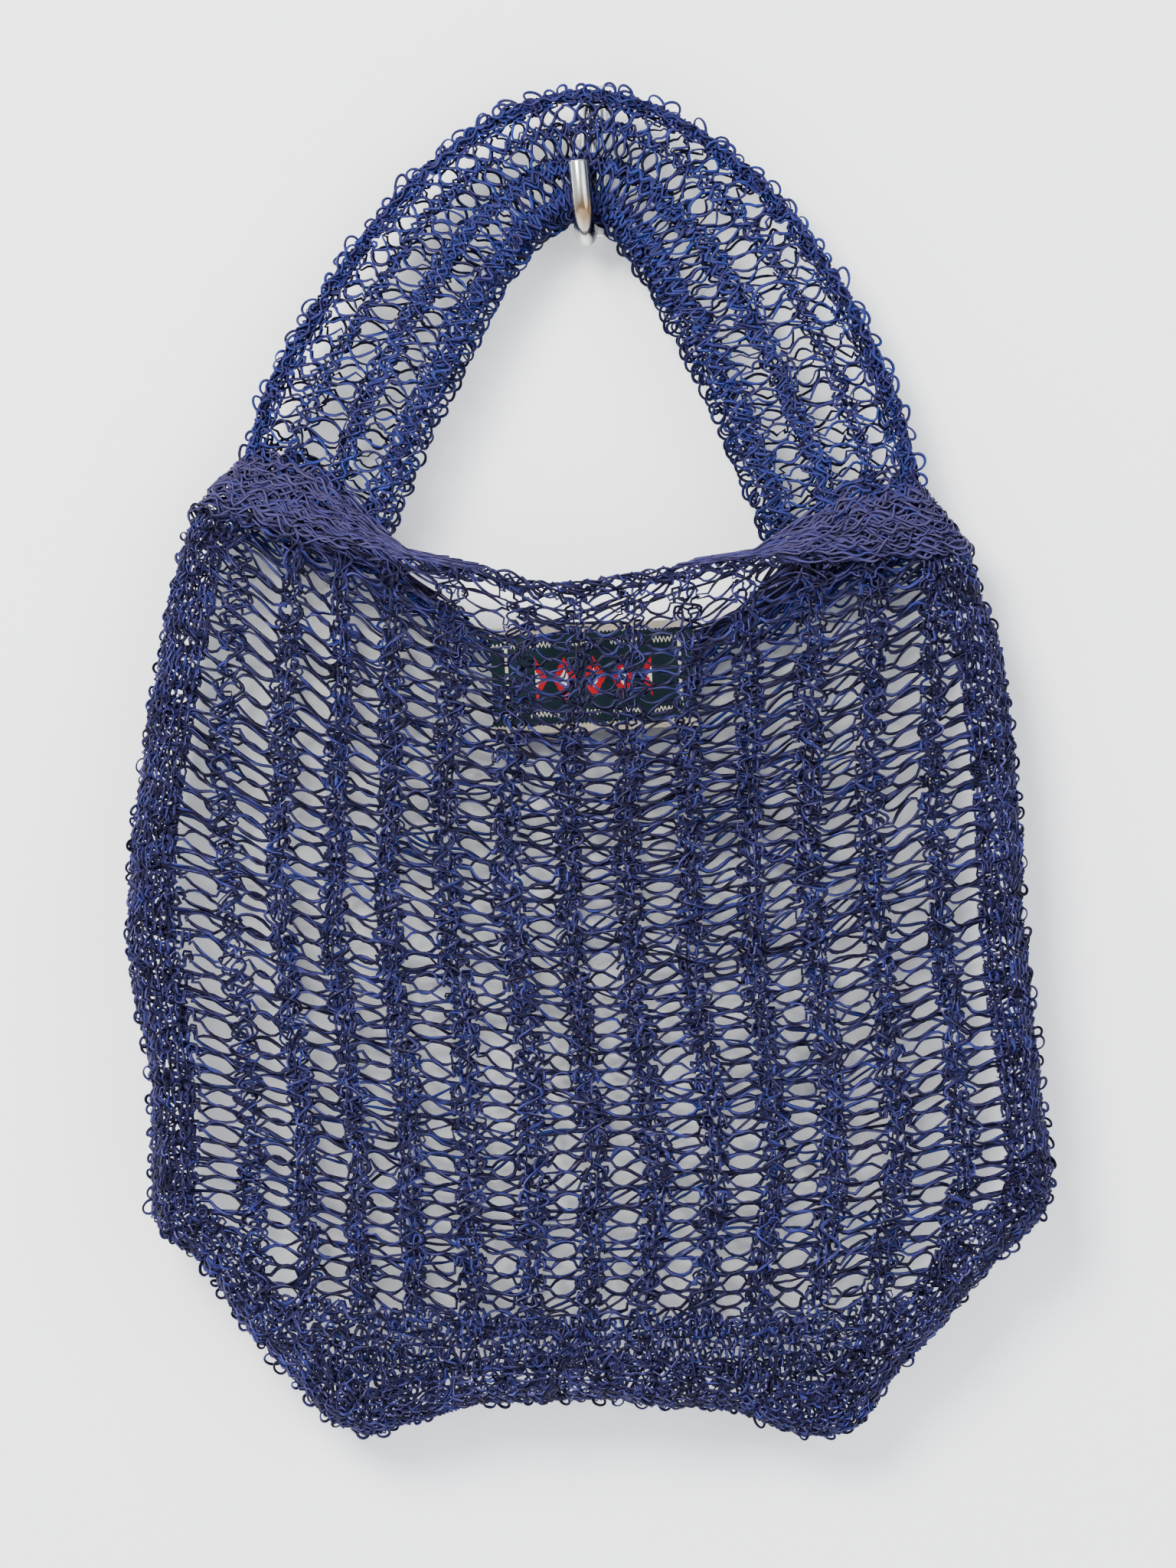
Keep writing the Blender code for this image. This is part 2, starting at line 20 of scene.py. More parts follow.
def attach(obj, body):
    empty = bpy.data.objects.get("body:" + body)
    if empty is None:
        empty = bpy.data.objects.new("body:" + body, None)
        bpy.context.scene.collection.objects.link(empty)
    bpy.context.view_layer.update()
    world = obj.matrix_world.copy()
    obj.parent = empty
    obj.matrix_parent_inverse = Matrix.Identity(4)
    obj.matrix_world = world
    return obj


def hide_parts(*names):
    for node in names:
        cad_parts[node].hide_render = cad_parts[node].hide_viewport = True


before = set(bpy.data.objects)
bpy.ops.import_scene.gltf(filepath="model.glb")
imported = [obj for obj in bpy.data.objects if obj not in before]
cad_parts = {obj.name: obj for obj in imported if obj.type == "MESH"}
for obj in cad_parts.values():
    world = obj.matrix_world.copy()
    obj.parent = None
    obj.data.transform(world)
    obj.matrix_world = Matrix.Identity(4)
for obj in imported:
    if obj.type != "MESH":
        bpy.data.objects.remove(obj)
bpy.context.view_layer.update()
MM = 0.001
print("nodes", sorted(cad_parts))

# %% [markdown]
# ## The shapes that everything follows
#
# The solids were drawn from a few short tables: the bag's outer edge, the two rims of its mouth, how far
# each panel stands from the wall, and where the strap runs. The yarn follows the same tables, in
# millimetres, so that it lies where the solids are. A Catmull-Rom curve turns each table into a smooth
# line, and its points are spaced evenly so that stitches along it have the same size.

# %% Tables of the bag's form, as seen from the front
EDGE_ROWS = (
    (-100.5, -90), (-106, -101), (-109, -118), (-114, -144), (-118.5, -178),
    (-119, -208), (-114.5, -236), (-113.5, -262), (-112.5, -277), (-102, -286.5),
    (-90, -303), (-77, -319), (-67, -329), (-57.5, -333), (-47, -329.5),
    (-34, -325.5), (-12, -323.5), (14, -324), (34, -325.5), (46, -329.5),
    (57, -333.5), (69, -330), (77.5, -318), (92, -302), (106, -286),
    (117, -276), (119, -262), (116.5, -236), (112.5, -205), (111, -172),
    (107.5, -138), (102, -115), (97, -100.5),
)
FRONT_RIM_ROWS = (
    (-100.5, -90), (-76, -97.5), (-50, -104), (-26, -108.5), (-8, -112),
    (16, -108.5), (46, -104), (75, -102), (97, -100.5),
)
BACK_RIM_ROWS = (
    (-100.5, -90), (-76, -97), (-58, -105), (-34, -120.5), (-18, -127),
    (22, -127.5), (46, -117.5), (64, -108), (80, -103), (97, -100.5),
)
# z, y of the front panel and of the back one down the middle, and half the bag's depth at its edge
DEPTH_ROWS = (
    (-335.0, -23.0, -10.0, 5.0),
    (-322.0, -29.0, -7.5, 7.0),
    (-302.0, -36.0, -5.5, 8.5),
    (-270.0, -38.5, -4.5, 8.5),
    (-220.0, -35.5, -4.5, 8.0),
    (-150.0, -29.0, -5.5, 7.0),
    (-112.0, -24.5, -7.0, 6.0),
    (-88.0, -21.0, -8.0, 5.5),
)
# x and z of the band's fold, x and z of its open edges, y of its middle and half its depth
STRAP_ROWS = (
    (-91, -78, -50, -92.5, -14.5, 6.5),
    (-86.5, -62, -43, -76, -14.5, 6),
    (-77, -44, -34.5, -57, -14, 5.5),
    (-62, -22, -25, -38, -13.6, 4.5),
    (-44, -2, -14.5, -22.5, -13.2, 3.2),
    (-22.5, 13, -6, -16.2, -13.2, 2.4),
    (-1, 18.6, -1.5, -15.6, -13.2, 2.4),
    (20.5, 13, 3.5, -16.6, -13.2, 2.4),
    (44, -3.5, 10.5, -26, -13.2, 3.2),
    (60, -22, 18.5, -39, -13.6, 4.5),
    (73, -43, 27, -56, -14, 5.5),
    (82, -65, 36.5, -76, -14.5, 6),
    (87.5, -86.5, 44, -95, -14.5, 6.5),
)
EDGE_BULGE = 4.0  # the rounded edge stands this far outside the panels
WELT_REACH = 11.0  # the close-knitted edge is this wide on each panel
WAVE_HEIGHT, WAVE_LENGTH = 1.2, 105.0  # the panels' slow unevenness, and from one crest to the next
WAVE_SLANT, WAVE_FADE = 30.0, 37.0  # the crests lean and fade by one radian in these heights
STRAP_LENGTH = 300.0
STRAP_HALF_WIDTH = 40.0
FOLD_SHARPNESS = 3.2
FOLD_POWER = 1.25
FOLD_INSET = 0.965
FRONT, BACK = -1, 1
CURVE_STEPS = 24


def smooth_curve(rows, step):
    """0.5 (2b + (c-a)t + (2a-5b+4c-d)t^2 + (3b-a-3c+d)t^3) between rows b and c, evenly spaced."""
    p = np.array(rows, float)
    p = np.vstack((2 * p[0] - p[1], p, 2 * p[-1] - p[-2]))
    a, b, c, d = (p[k : len(p) - 3 + k, None] for k in range(4))
    t = np.linspace(0.0, 1.0, CURVE_STEPS, endpoint=False)[None, :, None]
    square, cube = 2 * a - 5 * b + 4 * c - d, 3 * b - a - 3 * c + d
    fine = 0.5 * (2 * b + (c - a) * t + square * t**2 + cube * t**3)
    fine = np.vstack((fine.reshape(-1, p.shape[1]), p[-2]))
    run = np.concatenate(([0.0], np.cumsum(np.linalg.norm(np.diff(fine[:, :2], axis=0), axis=1))))
    marks = np.linspace(0.0, run[-1], max(2, round(run[-1] / step) + 1))
    return np.column_stack([np.interp(marks, run, fine[:, k]) for k in range(fine.shape[1])])


EDGE = smooth_curve(EDGE_ROWS, 1.0)
EDGE_LENGTH = len(EDGE) - 1.0
RIMS = {FRONT: smooth_curve(FRONT_RIM_ROWS, 1.0), BACK: smooth_curve(BACK_RIM_ROWS, 1.0)}
STRAP_CURVE = smooth_curve(STRAP_ROWS, 2.0)
print(f"outer edge {EDGE_LENGTH:.0f} mm, strap table {len(STRAP_CURVE)} stations")


# %% [markdown]
# ## Surfaces as functions of two parameters
#
# Each part of the bag is a function that takes two arrays and gives points in space. A panel takes
# x and z and works out how far it stands from the wall. The edge takes a distance along the outline and
# a turn from the front panel round to the back one. The strap takes a distance along the band and one
# across it, with the fold at zero. `lay` then puts a path on such a surface: it also finds the surface's
# normal from two small steps, so that a strand can pass over or under its neighbour.

# %% Panel, edge and strap surfaces
def sides_at(z):
    """The bag's left and right ends at each height z, read off the two upright runs of the edge."""
    half = len(EDGE) // 2
    low_left = np.argmin(EDGE[:half, 1])
    low_right = half + np.argmin(EDGE[half:, 1])
    left = np.interp(-z, -EDGE[: low_left + 1, 1], EDGE[: low_left + 1, 0])
    right = np.interp(z, EDGE[low_right:, 1], EDGE[low_right:, 0])
    return left, right


def panel_place(side):
    """y = middle + side (edge + (half - edge) crown), where crown = 1 - |s|^3 and s is -1 to 1 across."""
    rows = np.array(DEPTH_ROWS)

    def place(x, z):
        front, back, edge = (np.interp(z, rows[:, 0], rows[:, k]) for k in (1, 2, 3))
        left, right = sides_at(z)
        across = np.minimum(1.0, np.abs(2 * x - left - right) / (right - left))
        crown = 1.0 - across**3
        half = edge + ((back - front) / 2 - edge) * crown
        crests = np.sin(2 * pi * x / WAVE_LENGTH + z / WAVE_SLANT + side)
        wave = WAVE_HEIGHT * crests * np.sin(z / WAVE_FADE + side) * crown
        return np.stack((x, (front + back) / 2 + side * (half + wave * (side < 0)), z), axis=-1)

    return place


PANEL = {FRONT: panel_place(FRONT), BACK: panel_place(BACK)}


def edge_normals(reach=7):
    """Unit normals that point inwards from the edge, each averaged over the points within reach."""
    along = np.gradient(EDGE, axis=0)
    window = np.ones(2 * reach + 1) / (2 * reach + 1)
    padded = np.vstack([along[:1]] * reach + [along] + [along[-1:]] * reach)
    along = np.column_stack([np.convolve(padded[:, k], window, "valid") for k in (0, 1)])
    along /= np.linalg.norm(along, axis=1)[:, None]
    return np.column_stack((-along[:, 1], along[:, 0]))


EDGE_INWARDS = edge_normals()


def at_run(line, run):
    """x and z, or two parts of a normal, at a run of millimetres along a line with a row for each of them."""
    return [np.interp(run, np.arange(len(line)), line[:, k]) for k in (0, 1)]


def inwards(run, distance):
    """The point that lies the given distance inside the outline, at a run along it."""
    (x, z), (normal_x, normal_z) = at_run(EDGE, run), at_run(EDGE_INWARDS, run)
    return x + distance * normal_x, z + distance * normal_z


def rim_at(side, x):
    """Height of a panel's rim at x."""
    return np.interp(x, RIMS[side][:, 0], RIMS[side][:, 1])


def edge_place(run, turn):
    """Turn -1 to -0.5 is flat on the front panel, then a half-ellipse round the edge, then the back."""
    flat = np.clip((np.abs(turn) - 0.5) * 2, 0.0, 1.0)
    angle = np.clip(turn, -0.5, 0.5) * pi
    distance = EDGE_BULGE * (1 - np.cos(angle)) + flat * (WELT_REACH - EDGE_BULGE)
    x, z = inwards(run, distance)
    front, back = PANEL[FRONT](x, z), PANEL[BACK](x, z)
    share = np.where(np.abs(turn) < 0.5, (1 + np.sin(angle)) / 2, turn > 0)
    return front + (back - front) * share[..., None]


def beyond_ends(along, column):
    """What a straight run past either end of the strap's curve adds to one column of it."""
    slope = np.diff(column)[[0, -1]] * (len(column) - 1) / STRAP_LENGTH
    return np.minimum(along, 0.0) * slope[0] + np.maximum(along - STRAP_LENGTH, 0.0) * slope[1]


def strap_place(along, across):
    """Inner to outer edge by 1 - |s|^power, and depth by tanh(k s) / tanh(k), with s = across / half."""
    marks = np.linspace(0.0, STRAP_LENGTH, len(STRAP_CURVE))
    row = [np.interp(along, marks, column) + beyond_ends(along, column) for column in STRAP_CURVE.T]
    outer_x, outer_z, inner_x, inner_z, middle, half = row
    s = across / STRAP_HALF_WIDTH
    width = FOLD_INSET * (1.0 - np.abs(s) ** FOLD_POWER)
    depth = np.tanh(FOLD_SHARPNESS * s) / np.tanh(FOLD_SHARPNESS)
    x = inner_x + (outer_x - inner_x) * width
    z = inner_z + (outer_z - inner_z) * width
    return np.stack((x, middle + half * depth, z), axis=-1)


NORMAL_STEP = 0.2


def unit(vectors):
    """Each vector divided by its length."""
    return vectors / np.maximum(np.linalg.norm(vectors, axis=-1, keepdims=True), 1e-9)


def lay(place, u, v, lift, outward=1.0):
    """Points on a surface, raised by lift along its normal, which is the cross product of two small steps."""
    base = place(u, v)
    ahead, above = place(u + NORMAL_STEP, v) - base, place(u, v + NORMAL_STEP) - base
    normal = unit(np.cross(ahead, above)) * outward
    return base + normal * lift[..., None], normal


for side, name in ((FRONT, "front"), (BACK, "back")):
    middle = PANEL[side](np.array([0.0]), np.array([-220.0]))[0]
    print(name, "panel at its middle", middle.round(1))


# %% [markdown]
# ## From a path to a yarn
#
# The real yarn is flat, under a millimetre wide, and turns over as it runs. Each path gets a small
# three-sided ring of points at every step, flattened and slowly twisted, and smooth shading rounds it.
# Three sides are enough at this size: the whole bag holds about two hundred metres of yarn. The
# rings of all paths are worked out together as arrays, and the mesh also keeps a UV map, with the
# length along the yarn in u, and an attribute `tone` that gives each strand its own shade.

# %% Sweep paths into one mesh
YARN_WIDTH = 1.0
YARN_DEPTH = 0.56
YARN_SIDES = 3
TWIST, TWIST_BEAT = 0.9, 0.5  # how far the yarn turns over, at random and with its length, in radians
GIRTH_CHANGE = 0.16
UV_PER_MM = 0.1


def between(stops, n):
    """Eases along the last axis of stops with a cosine, at n counted in stops."""
    low = n.astype(int)
    ease = (1 - np.cos((n - low) * pi)) / 2
    return stops[..., low] * (1 - ease) + stops[..., low + 1] * ease


def wander(rng, count, step):
    """A smooth random line from -1 to 1, with a new random value every step points."""
    knots = rng.uniform(-1.0, 1.0, int(count / step) + 3)
    return between(knots, np.arange(count) / step + rng.uniform(0.0, 1.0))


def add_object(name, data):
    """A new object in the scene, at the origin."""
    made = bpy.data.objects.new(name, data)
    bpy.context.scene.collection.objects.link(made)
    return made


def sweep(name, paths, seed, width=YARN_WIDTH, sides=YARN_SIDES):
    """Rings P + (a cos w - b sin w) B + (a sin w + b cos w) U, with B = T x N, U = B x T and w the twist."""
    rng = default_rng(seed)
    points = np.vstack([p for p, _, _ in paths])
    normals = np.vstack([n for _, n, _ in paths])
    tones = np.concatenate([np.full(len(p), t) for p, _, t in paths])
    counts = np.array([len(p) for p, _, _ in paths])
    ends = np.cumsum(counts) - 1
    starts = ends - counts + 1
    inner = np.ones(len(points), bool)
    inner[ends] = False

    step = np.zeros_like(points)
    step[:-1] = np.diff(points, axis=0)
    step[ends] = step[ends - 1]
    back = np.roll(step, 1, axis=0)
    back[starts] = step[starts]
    tangent = unit(unit(step) + unit(back))
    across = unit(np.cross(tangent, normals))
    up = np.cross(across, tangent)
    length = np.linalg.norm(step, axis=1)
    length[ends] = 0.0
    run = np.concatenate(([0.0], np.cumsum(length)[:-1]))
    twist = TWIST * wander(rng, len(points), 7.0) + TWIST_BEAT * np.sin(run * 0.35 + tones * 40)
    girth = 1.0 + GIRTH_CHANGE * wander(rng, len(points), 5.0)

    angle = 2 * pi * np.arange(sides) / sides
    a = np.cos(angle)[None] * (width / 2 * girth)[:, None]
    b = np.sin(angle)[None] * (YARN_DEPTH / 2 * girth)[:, None]
    c, s = np.cos(twist)[:, None], np.sin(twist)[:, None]
    ring = points[:, None] + (a * c - b * s)[..., None] * across[:, None]
    ring = ring + (a * s + b * c)[..., None] * up[:, None]

    first = np.flatnonzero(inner)[:, None] * sides
    k = np.arange(sides)[None]
    following = (k + 1) % sides
    corners = (first + k, first + sides + k, first + sides + following, first + following)
    quads = np.stack(corners, axis=-1).reshape(-1, 4)
    caps = np.vstack((starts[:, None] * sides + k, (ends[:, None] * sides + k)[:, ::-1]))

    mesh = bpy.data.meshes.new(name)
    mesh.vertices.add(len(points) * sides)
    mesh.vertices.foreach_set("co", (ring * MM).astype(np.float32).ravel())
    corners = np.concatenate((quads.ravel(), caps.ravel())).astype(np.int32)
    sizes = np.concatenate((np.full(len(quads), 4), np.full(len(caps), sides)))
    mesh.loops.add(len(corners))
    mesh.loops.foreach_set("vertex_index", corners)
    mesh.polygons.add(len(sizes))
    loop_starts = np.concatenate(([0], np.cumsum(sizes)[:-1])).astype(np.int32)
    mesh.polygons.foreach_set("loop_start", loop_starts)
    mesh.polygons.foreach_set("use_smooth", np.arange(len(sizes)) < len(quads))
    mesh.update(calc_edges=True)
    mesh.validate()

    round_it = (quads[:, :1] % sides + np.array((0.0, 0.0, 1.0, 1.0))) / sides
    round_it = np.concatenate((round_it.ravel(), np.zeros(caps.size)))
    along = run[corners // sides] * UV_PER_MM
    uv = mesh.uv_layers.new(name="along")
    uv.data.foreach_set("uv", np.column_stack((along, round_it)).astype(np.float32).ravel())
    shade = mesh.attributes.new("tone", "FLOAT", "POINT")
    shade.data.foreach_set("value", np.repeat(tones, sides).astype(np.float32))

    triangles = 2 * len(quads) + len(caps) * (sides - 2)
    print(f"{name}: {len(paths)} strands, {length.sum() * MM:.1f} m, {triangles} triangles")
    return add_object(name, mesh)


# %% [markdown]
# ## Knitted courses
#
# The net is lace: ribs of ordinary knit loops, with ladders of open floats between them. The classic loop is
# x = t + a sin 2t, z = -h cos t, depth = d cos 2t, which leans under itself so that one course hooks into
# the next. In a ladder the courses run straight across, and they go in pairs: the upper one of a pair bows
# up and the lower one down, which opens a lens-shaped hole, while neighbours of two pairs draw together into
# a double strand. Some ladders pair the other way, so their holes stand half a step lower. The zones across
# a course are worked out once, and numpy repeats them over all courses, with sizes that wander from pair to
# pair, so that no two holes are the same. The front and the back share the hole's random numbers, so that
# their holes line up and the wall shows through both.

# %% Lace: ribs of loops, and floats that open in pairs
LOOP_STEPS = 7
LOOP_LEAN = 0.6
LOOP_SWAY = 1.0
LOOP_DEPTH = 0.5
FLOAT_STEPS = 6
FLOAT_DEPTH = 0.3
HOLE_CHANGE = 0.3
CHANGE_REACH = 130.0  # holes differ more in height towards the bag's sides, once more in this distance
HOLE_SLANT = 0.8
HOLE_SHIFT = 1.2  # every other hole starts up to this far to one side


def lace_zones(floats, first, last):
    """Rows (start, end, size): 0 for a rib, or a share of a full bow, below 0 if paired the other way."""
    zones = []
    at = first
    for centre, width, size in floats:
        zones.append((at, centre - width / 2, 0.0))
        zones.append((centre - width / 2, centre + width / 2, size))
        at = centre + width / 2
    zones.append((at, last, 0.0))
    return zones


def lace(zones, courses, stitch, height, bow, pinch, seed, hole_seed=0, openness=None):
    """Ribs v = tall (1 - cos t) - h sin(pi q)^0.6, and floats v = end + (bow - end) sin(pi q)^0.7."""
    rng, hole = default_rng(seed), default_rng(hole_seed)
    upper = np.where(np.arange(courses) % 2 == 0, 1.0, -1.0)[:, None]
    pair = np.arange(courses) // 2
    pairs = pair[-1] + 1
    signs = [np.sign(size) for _, _, size in zones]
    us, vs, depths = [], [], []
    for index, (start, end, size) in enumerate(zones):
        slip = rng.uniform(-0.22, 0.22, (courses, 1))
        if size != 0:
            ends = -pinch * upper * np.sign(size)
            q = np.arange(FLOAT_STEPS)[None] / FLOAT_STEPS
            turn = np.where(pair % 2 == 0, 1.0, -1.0) * hole.choice((-1.0, 1.0))
            change = HOLE_CHANGE * (0.3 + abs(start + end) / CHANGE_REACH)
            change = change * (0.8 + 0.7 * wander(hole, pairs, 4.0))
            wide = (1.0 + turn * change[pair])[:, None]
            if openness:
                wide = wide * openness((start + end) / 2)
            slant = HOLE_SLANT * wander(hole, pairs, 2.5)[pair][:, None]
            stagger = (turn * hole.uniform(0.0, HOLE_SHIFT))[:, None]
            stagger = stagger + hole.uniform(-1.0, 1.0, (pairs, 2))[pair]
            own = rng.uniform(-0.2, 0.2, (courses, 1))
            v = ends + (bow * size * wide * upper - ends) * np.sin(pi * q) ** 0.7
            v = v + slant * np.cos(pi * q) + own * np.sin(2 * pi * q) + 0.7 * slip * np.sin(pi * q)
            first, last = start + stagger[:, :1], end + stagger[:, 1:]
            us.append(np.broadcast_to(first + q * (last - first), v.shape))
            vs.append(v)
            depths.append(FLOAT_DEPTH * upper * np.cos(pi * q) + slip)
            continue
        loops = max(1, round((end - start) / stitch))
        q = np.arange(loops * LOOP_STEPS)[None] / (loops * LOOP_STEPS)
        t = 2 * pi * q * loops
        which = (q[0] * loops).astype(int)
        tall = height * rng.uniform(0.6, 1.3, (courses, loops))[:, which]
        lean = LOOP_LEAN * rng.uniform(0.3, 1.6, (courses, loops))[:, which]
        deep = LOOP_DEPTH * rng.uniform(0.4, 1.8, (courses, loops))[:, which]
        tip = rng.uniform(-0.3, 0.3, (courses, loops))[:, which] * np.sin(t / 2) ** 2
        sway = rng.uniform(-LOOP_SWAY, LOOP_SWAY, (courses, 1)) * np.sin(pi * q)
        before = signs[index - 1] if index else 0.0
        after = signs[index + 1] if index + 1 < len(zones) else 0.0
        joins = before * np.clip(1 - 2 * q, 0, 1) + after * np.clip(2 * q - 1, 0, 1)
        us.append(start + q * (end - start) + lean * np.sin(2 * t) + tip + sway)
        v = tall * (1 - np.cos(t)) - height * np.sin(pi * q) ** 0.6 + slip * np.sin(pi * q)
        vs.append(v - pinch * upper * joins)
        depths.append(deep * np.cos(2 * t) + 0.4 * tip)
    return np.hstack(us), np.hstack(vs), np.hstack(depths)


def drift(x, z, seed, reach, longest=75.0):
    """Slow unevenness: a sum of a few plane waves with random directions, wavelengths and phases."""
    rng = default_rng(seed)
    total = np.zeros(np.broadcast(x, z).shape)
    for _ in range(6):
        heading, phase = rng.uniform(0, 2 * pi, 2)
        wavelength = rng.uniform(15.0, longest)
        total += np.sin(2 * pi * (x * np.cos(heading) + z * np.sin(heading)) / wavelength + phase)
    return reach * total / 3.0


def unbroken(points, normals, keep, tones, least=5):
    """Cuts each course where keep is false and returns the runs that remain, as paths for sweep."""
    paths = []
    for course, row in enumerate(keep):
        turns = np.flatnonzero(np.diff(np.concatenate(([0], row.astype(int), [0]))))
        for a, b in zip(turns[::2], turns[1::2]):
            if b - a >= least:
                paths.append((points[course, a:b], normals[course, a:b], tones[course]))
    return paths


# %% [markdown]
# ## The two panels
#
# A panel is one wide piece of lace. Near its mouth the courses sag with the rim, because the bag hangs from
# its two shoulders, and the holes tilt outwards on both sides. Further down they lie level. The courses stop
# a little inside the outline, where the close-knitted edge takes over, and along the bottom a second set of
# plain courses fills the lace up.

# %% Panel courses
LADDERS = np.array((-98.5, -84.5, -70, -56, -41.5, -25.5, -9, 6, 21.5, 37, 52.5, 69, 86, 101))
RIBS = (LADDERS[1:] + LADDERS[:-1]) / 2
COURSE_PITCH = 2.2
UPPER_COURSES = 44
STITCH_WIDTH = 3.6
LOOP_HEIGHT = 1.45
HOLE_WIDTH, HOLE_WIDENING = 7.2, 0.018  # in the middle, and more for each millimetre to the side
HOLE_BOW = 1.15
HOLE_PINCH = 0.85
STAGGERED = (1, 3, 11)  # ladders that pair the other way
HALF_LACE = 118.0
EYE = (-0.6, -1500.0, -163.8)
NET_TOP = -115.4
BOTTOM_BAND_TOP = -303.0
BOTTOM_LINE = -325.0
PLAIN_BOTTOM = -331.6
PLAIN_HALF_WIDTH = 84.0
PLAIN_PITCH = 1.3 * COURSE_PITCH
COLUMN_SPREAD = 0.25
FULL_WIDTH = 238.0  # where the bag is this wide, the ladders stand at their own places
RIM_REACH = 60.0
SIDE_PULL = 19.0
SIDE_REACH = 150.0
HOLE_TILT = 1.0
TILT_REACH = 75.0  # from the middle to where the tilt is full
TILT_FLOOR, TILT_RISE = -290.0, 110.0  # it grows over this height
DENSE_PLACE = (28.0, -172.0)  # where the net is closest
DENSE_SIZE = (45.0, 42.0)
DENSE_SHARE = 0.6
EDGE_MARGIN = 3.0  # the courses run this far under the close-knitted edge


def distance_to_edge(x, z):
    """The least distance from each point to the bag's outer edge, in chunks to save memory."""
    flat = np.column_stack((x.ravel(), z.ravel()))
    line = EDGE[::3]
    chunks = np.array_split(flat, max(1, len(flat) // 20000))
    near = [np.sqrt(((chunk[:, None] - line[None]) ** 2).sum(-1)).min(1) for chunk in chunks]
    return np.concatenate(near).reshape(x.shape)


def hung_place(u, level, v):
    """x and z: columns spread with the width, holes tilt, rows sag with the rim and climb at the sides."""
    left, right = sides_at(level)
    x = (left + right) / 2 + u * (1 - COLUMN_SPREAD + COLUMN_SPREAD * (right - left) / FULL_WIDTH)
    grown = np.clip((level - TILT_FLOOR) / TILT_RISE, 0.0, 1.0)
    pull = HOLE_TILT * np.clip(x / TILT_REACH, -1.0, 1.0) * (0.3 + 0.7 * grown)
    z = level + v + pull * np.sin(2 * pi * np.interp(u, LADDERS, np.arange(len(LADDERS))))
    x, z = x + drift(x, z, 13, 1.1), z + drift(x, z, 12, 1.2)
    lowest = RIMS[FRONT][:, 1].min()
    sag = rim_at(FRONT, x) - lowest
    below = np.maximum(0.0, lowest - level)
    climb = SIDE_PULL * (x / 100.0) ** 2 * np.exp(-below / SIDE_REACH)
    return x, z + sag * np.exp(-below / RIM_REACH) + climb


def in_line(side, x, z):
    """On the back panel, the point that the eye sees behind x, z of the front one, so the ladders line up."""
    if side == FRONT:
        return x, z
    share = (PANEL[BACK](x, z)[..., 1] - EYE[1]) / (PANEL[FRONT](x, z)[..., 1] - EYE[1])
    return EYE[0] + (x - EYE[0]) * share, EYE[2] + (z - EYE[2]) * share


def on_panel(side, x, z, depth, tones, margin=0.0):
    """Lays rows on a panel and cuts them where they reach its close-knitted edge or its rim."""
    x, z = in_line(side, x, z)
    left, right = sides_at(z)
    keep = (x > left + EDGE_MARGIN) & (x < right - EDGE_MARGIN)
    keep &= distance_to_edge(x, z) > WELT_REACH - EDGE_MARGIN - margin
    keep &= (z < rim_at(side, x) + 0.5) & (z > BOTTOM_LINE - 1.0)
    points, normals = lay(PANEL[side], x, z, depth, outward=side)
    return unbroken(points, normals, keep, tones)


def panel_courses(side, zones, top, bottom, pitch, bow, seed):
    """Lace rows from top to bottom; openness, 1 - share exp(-d^2), shuts the holes near the dense place."""
    rng = default_rng(seed)
    courses = round((top - bottom) / pitch)
    level = (top - pitch * np.arange(courses) + rng.uniform(-0.12, 0.12, courses))[:, None]

    def openness(u):
        apart = ((u - DENSE_PLACE[0]) / DENSE_SIZE[0]) ** 2
        apart = apart + ((level - DENSE_PLACE[1]) / DENSE_SIZE[1]) ** 2
        return 1.0 - DENSE_SHARE * np.exp(-apart)

    hole_seed = int(-level[0, 0])
    sizes = (STITCH_WIDTH, LOOP_HEIGHT, bow, HOLE_PINCH)
    u, v, depth = lace(zones, courses, *sizes, seed + 5, hole_seed, openness)
    x, z = hung_place(u, level, v)
    return on_panel(side, x, z, depth + drift(x, z, seed + 3, 0.5), rng.uniform(0.0, 1.0, courses))


# %% [markdown]
# More yarn lies over the courses, because real loops catch each other in ways that no row of them shows:
# zigzags up each rib, strands along the seams between holes, and loose ones from rib to rib. A strand is a
# row of random stops, eased from one to the next.

# %% Strands over the courses
ZIGZAG_STEPS = 6
SEAM_HALF = 3.4  # a seam strand lies level for this far on both sides of a ladder's middle
SEAM_REACH, SEAM_STEP = 112.0, 1.9
BAND_HALF_WIDTH, BAND_BOTTOM = 96.0, -329.0
BAND_STEP, BAND_STOP = 1.2, 3.0
LOOSE_STEPS = 27


def rib_zigzags(side, top, bottom, seed):
    """Two strands a rib, from side to side: u = rib + (-1)^n reach, level = top - 2 n courses."""
    rng = default_rng(seed)
    ribs = np.repeat(RIBS, 2)[:, None]
    turns = int((top - bottom) / COURSE_PITCH / 2)
    k = np.arange(turns + 2)[None] + (np.arange(len(ribs)) % 2)[:, None]
    stops = np.where(k % 2 == 0, 1.0, -1.0) * rng.uniform(1.8, 4.3, k.shape)
    heights = top - 2 * COURSE_PITCH * (np.arange(turns + 2)[None] + rng.uniform(-0.35, 0.35, k.shape))
    n = np.arange(turns * ZIGZAG_STEPS + 1) / ZIGZAG_STEPS
    low = n.astype(int)
    level = heights[:, low] * (1 - n + low) + heights[:, low + 1] * (n - low)
    x, z = hung_place(ribs + between(stops, n), level, 0.0)
    lift = between(rng.choice((-0.5, 0.6), k.shape), n)
    return on_panel(side, x, z, lift, rng.uniform(0.0, 1.0, len(ribs)))


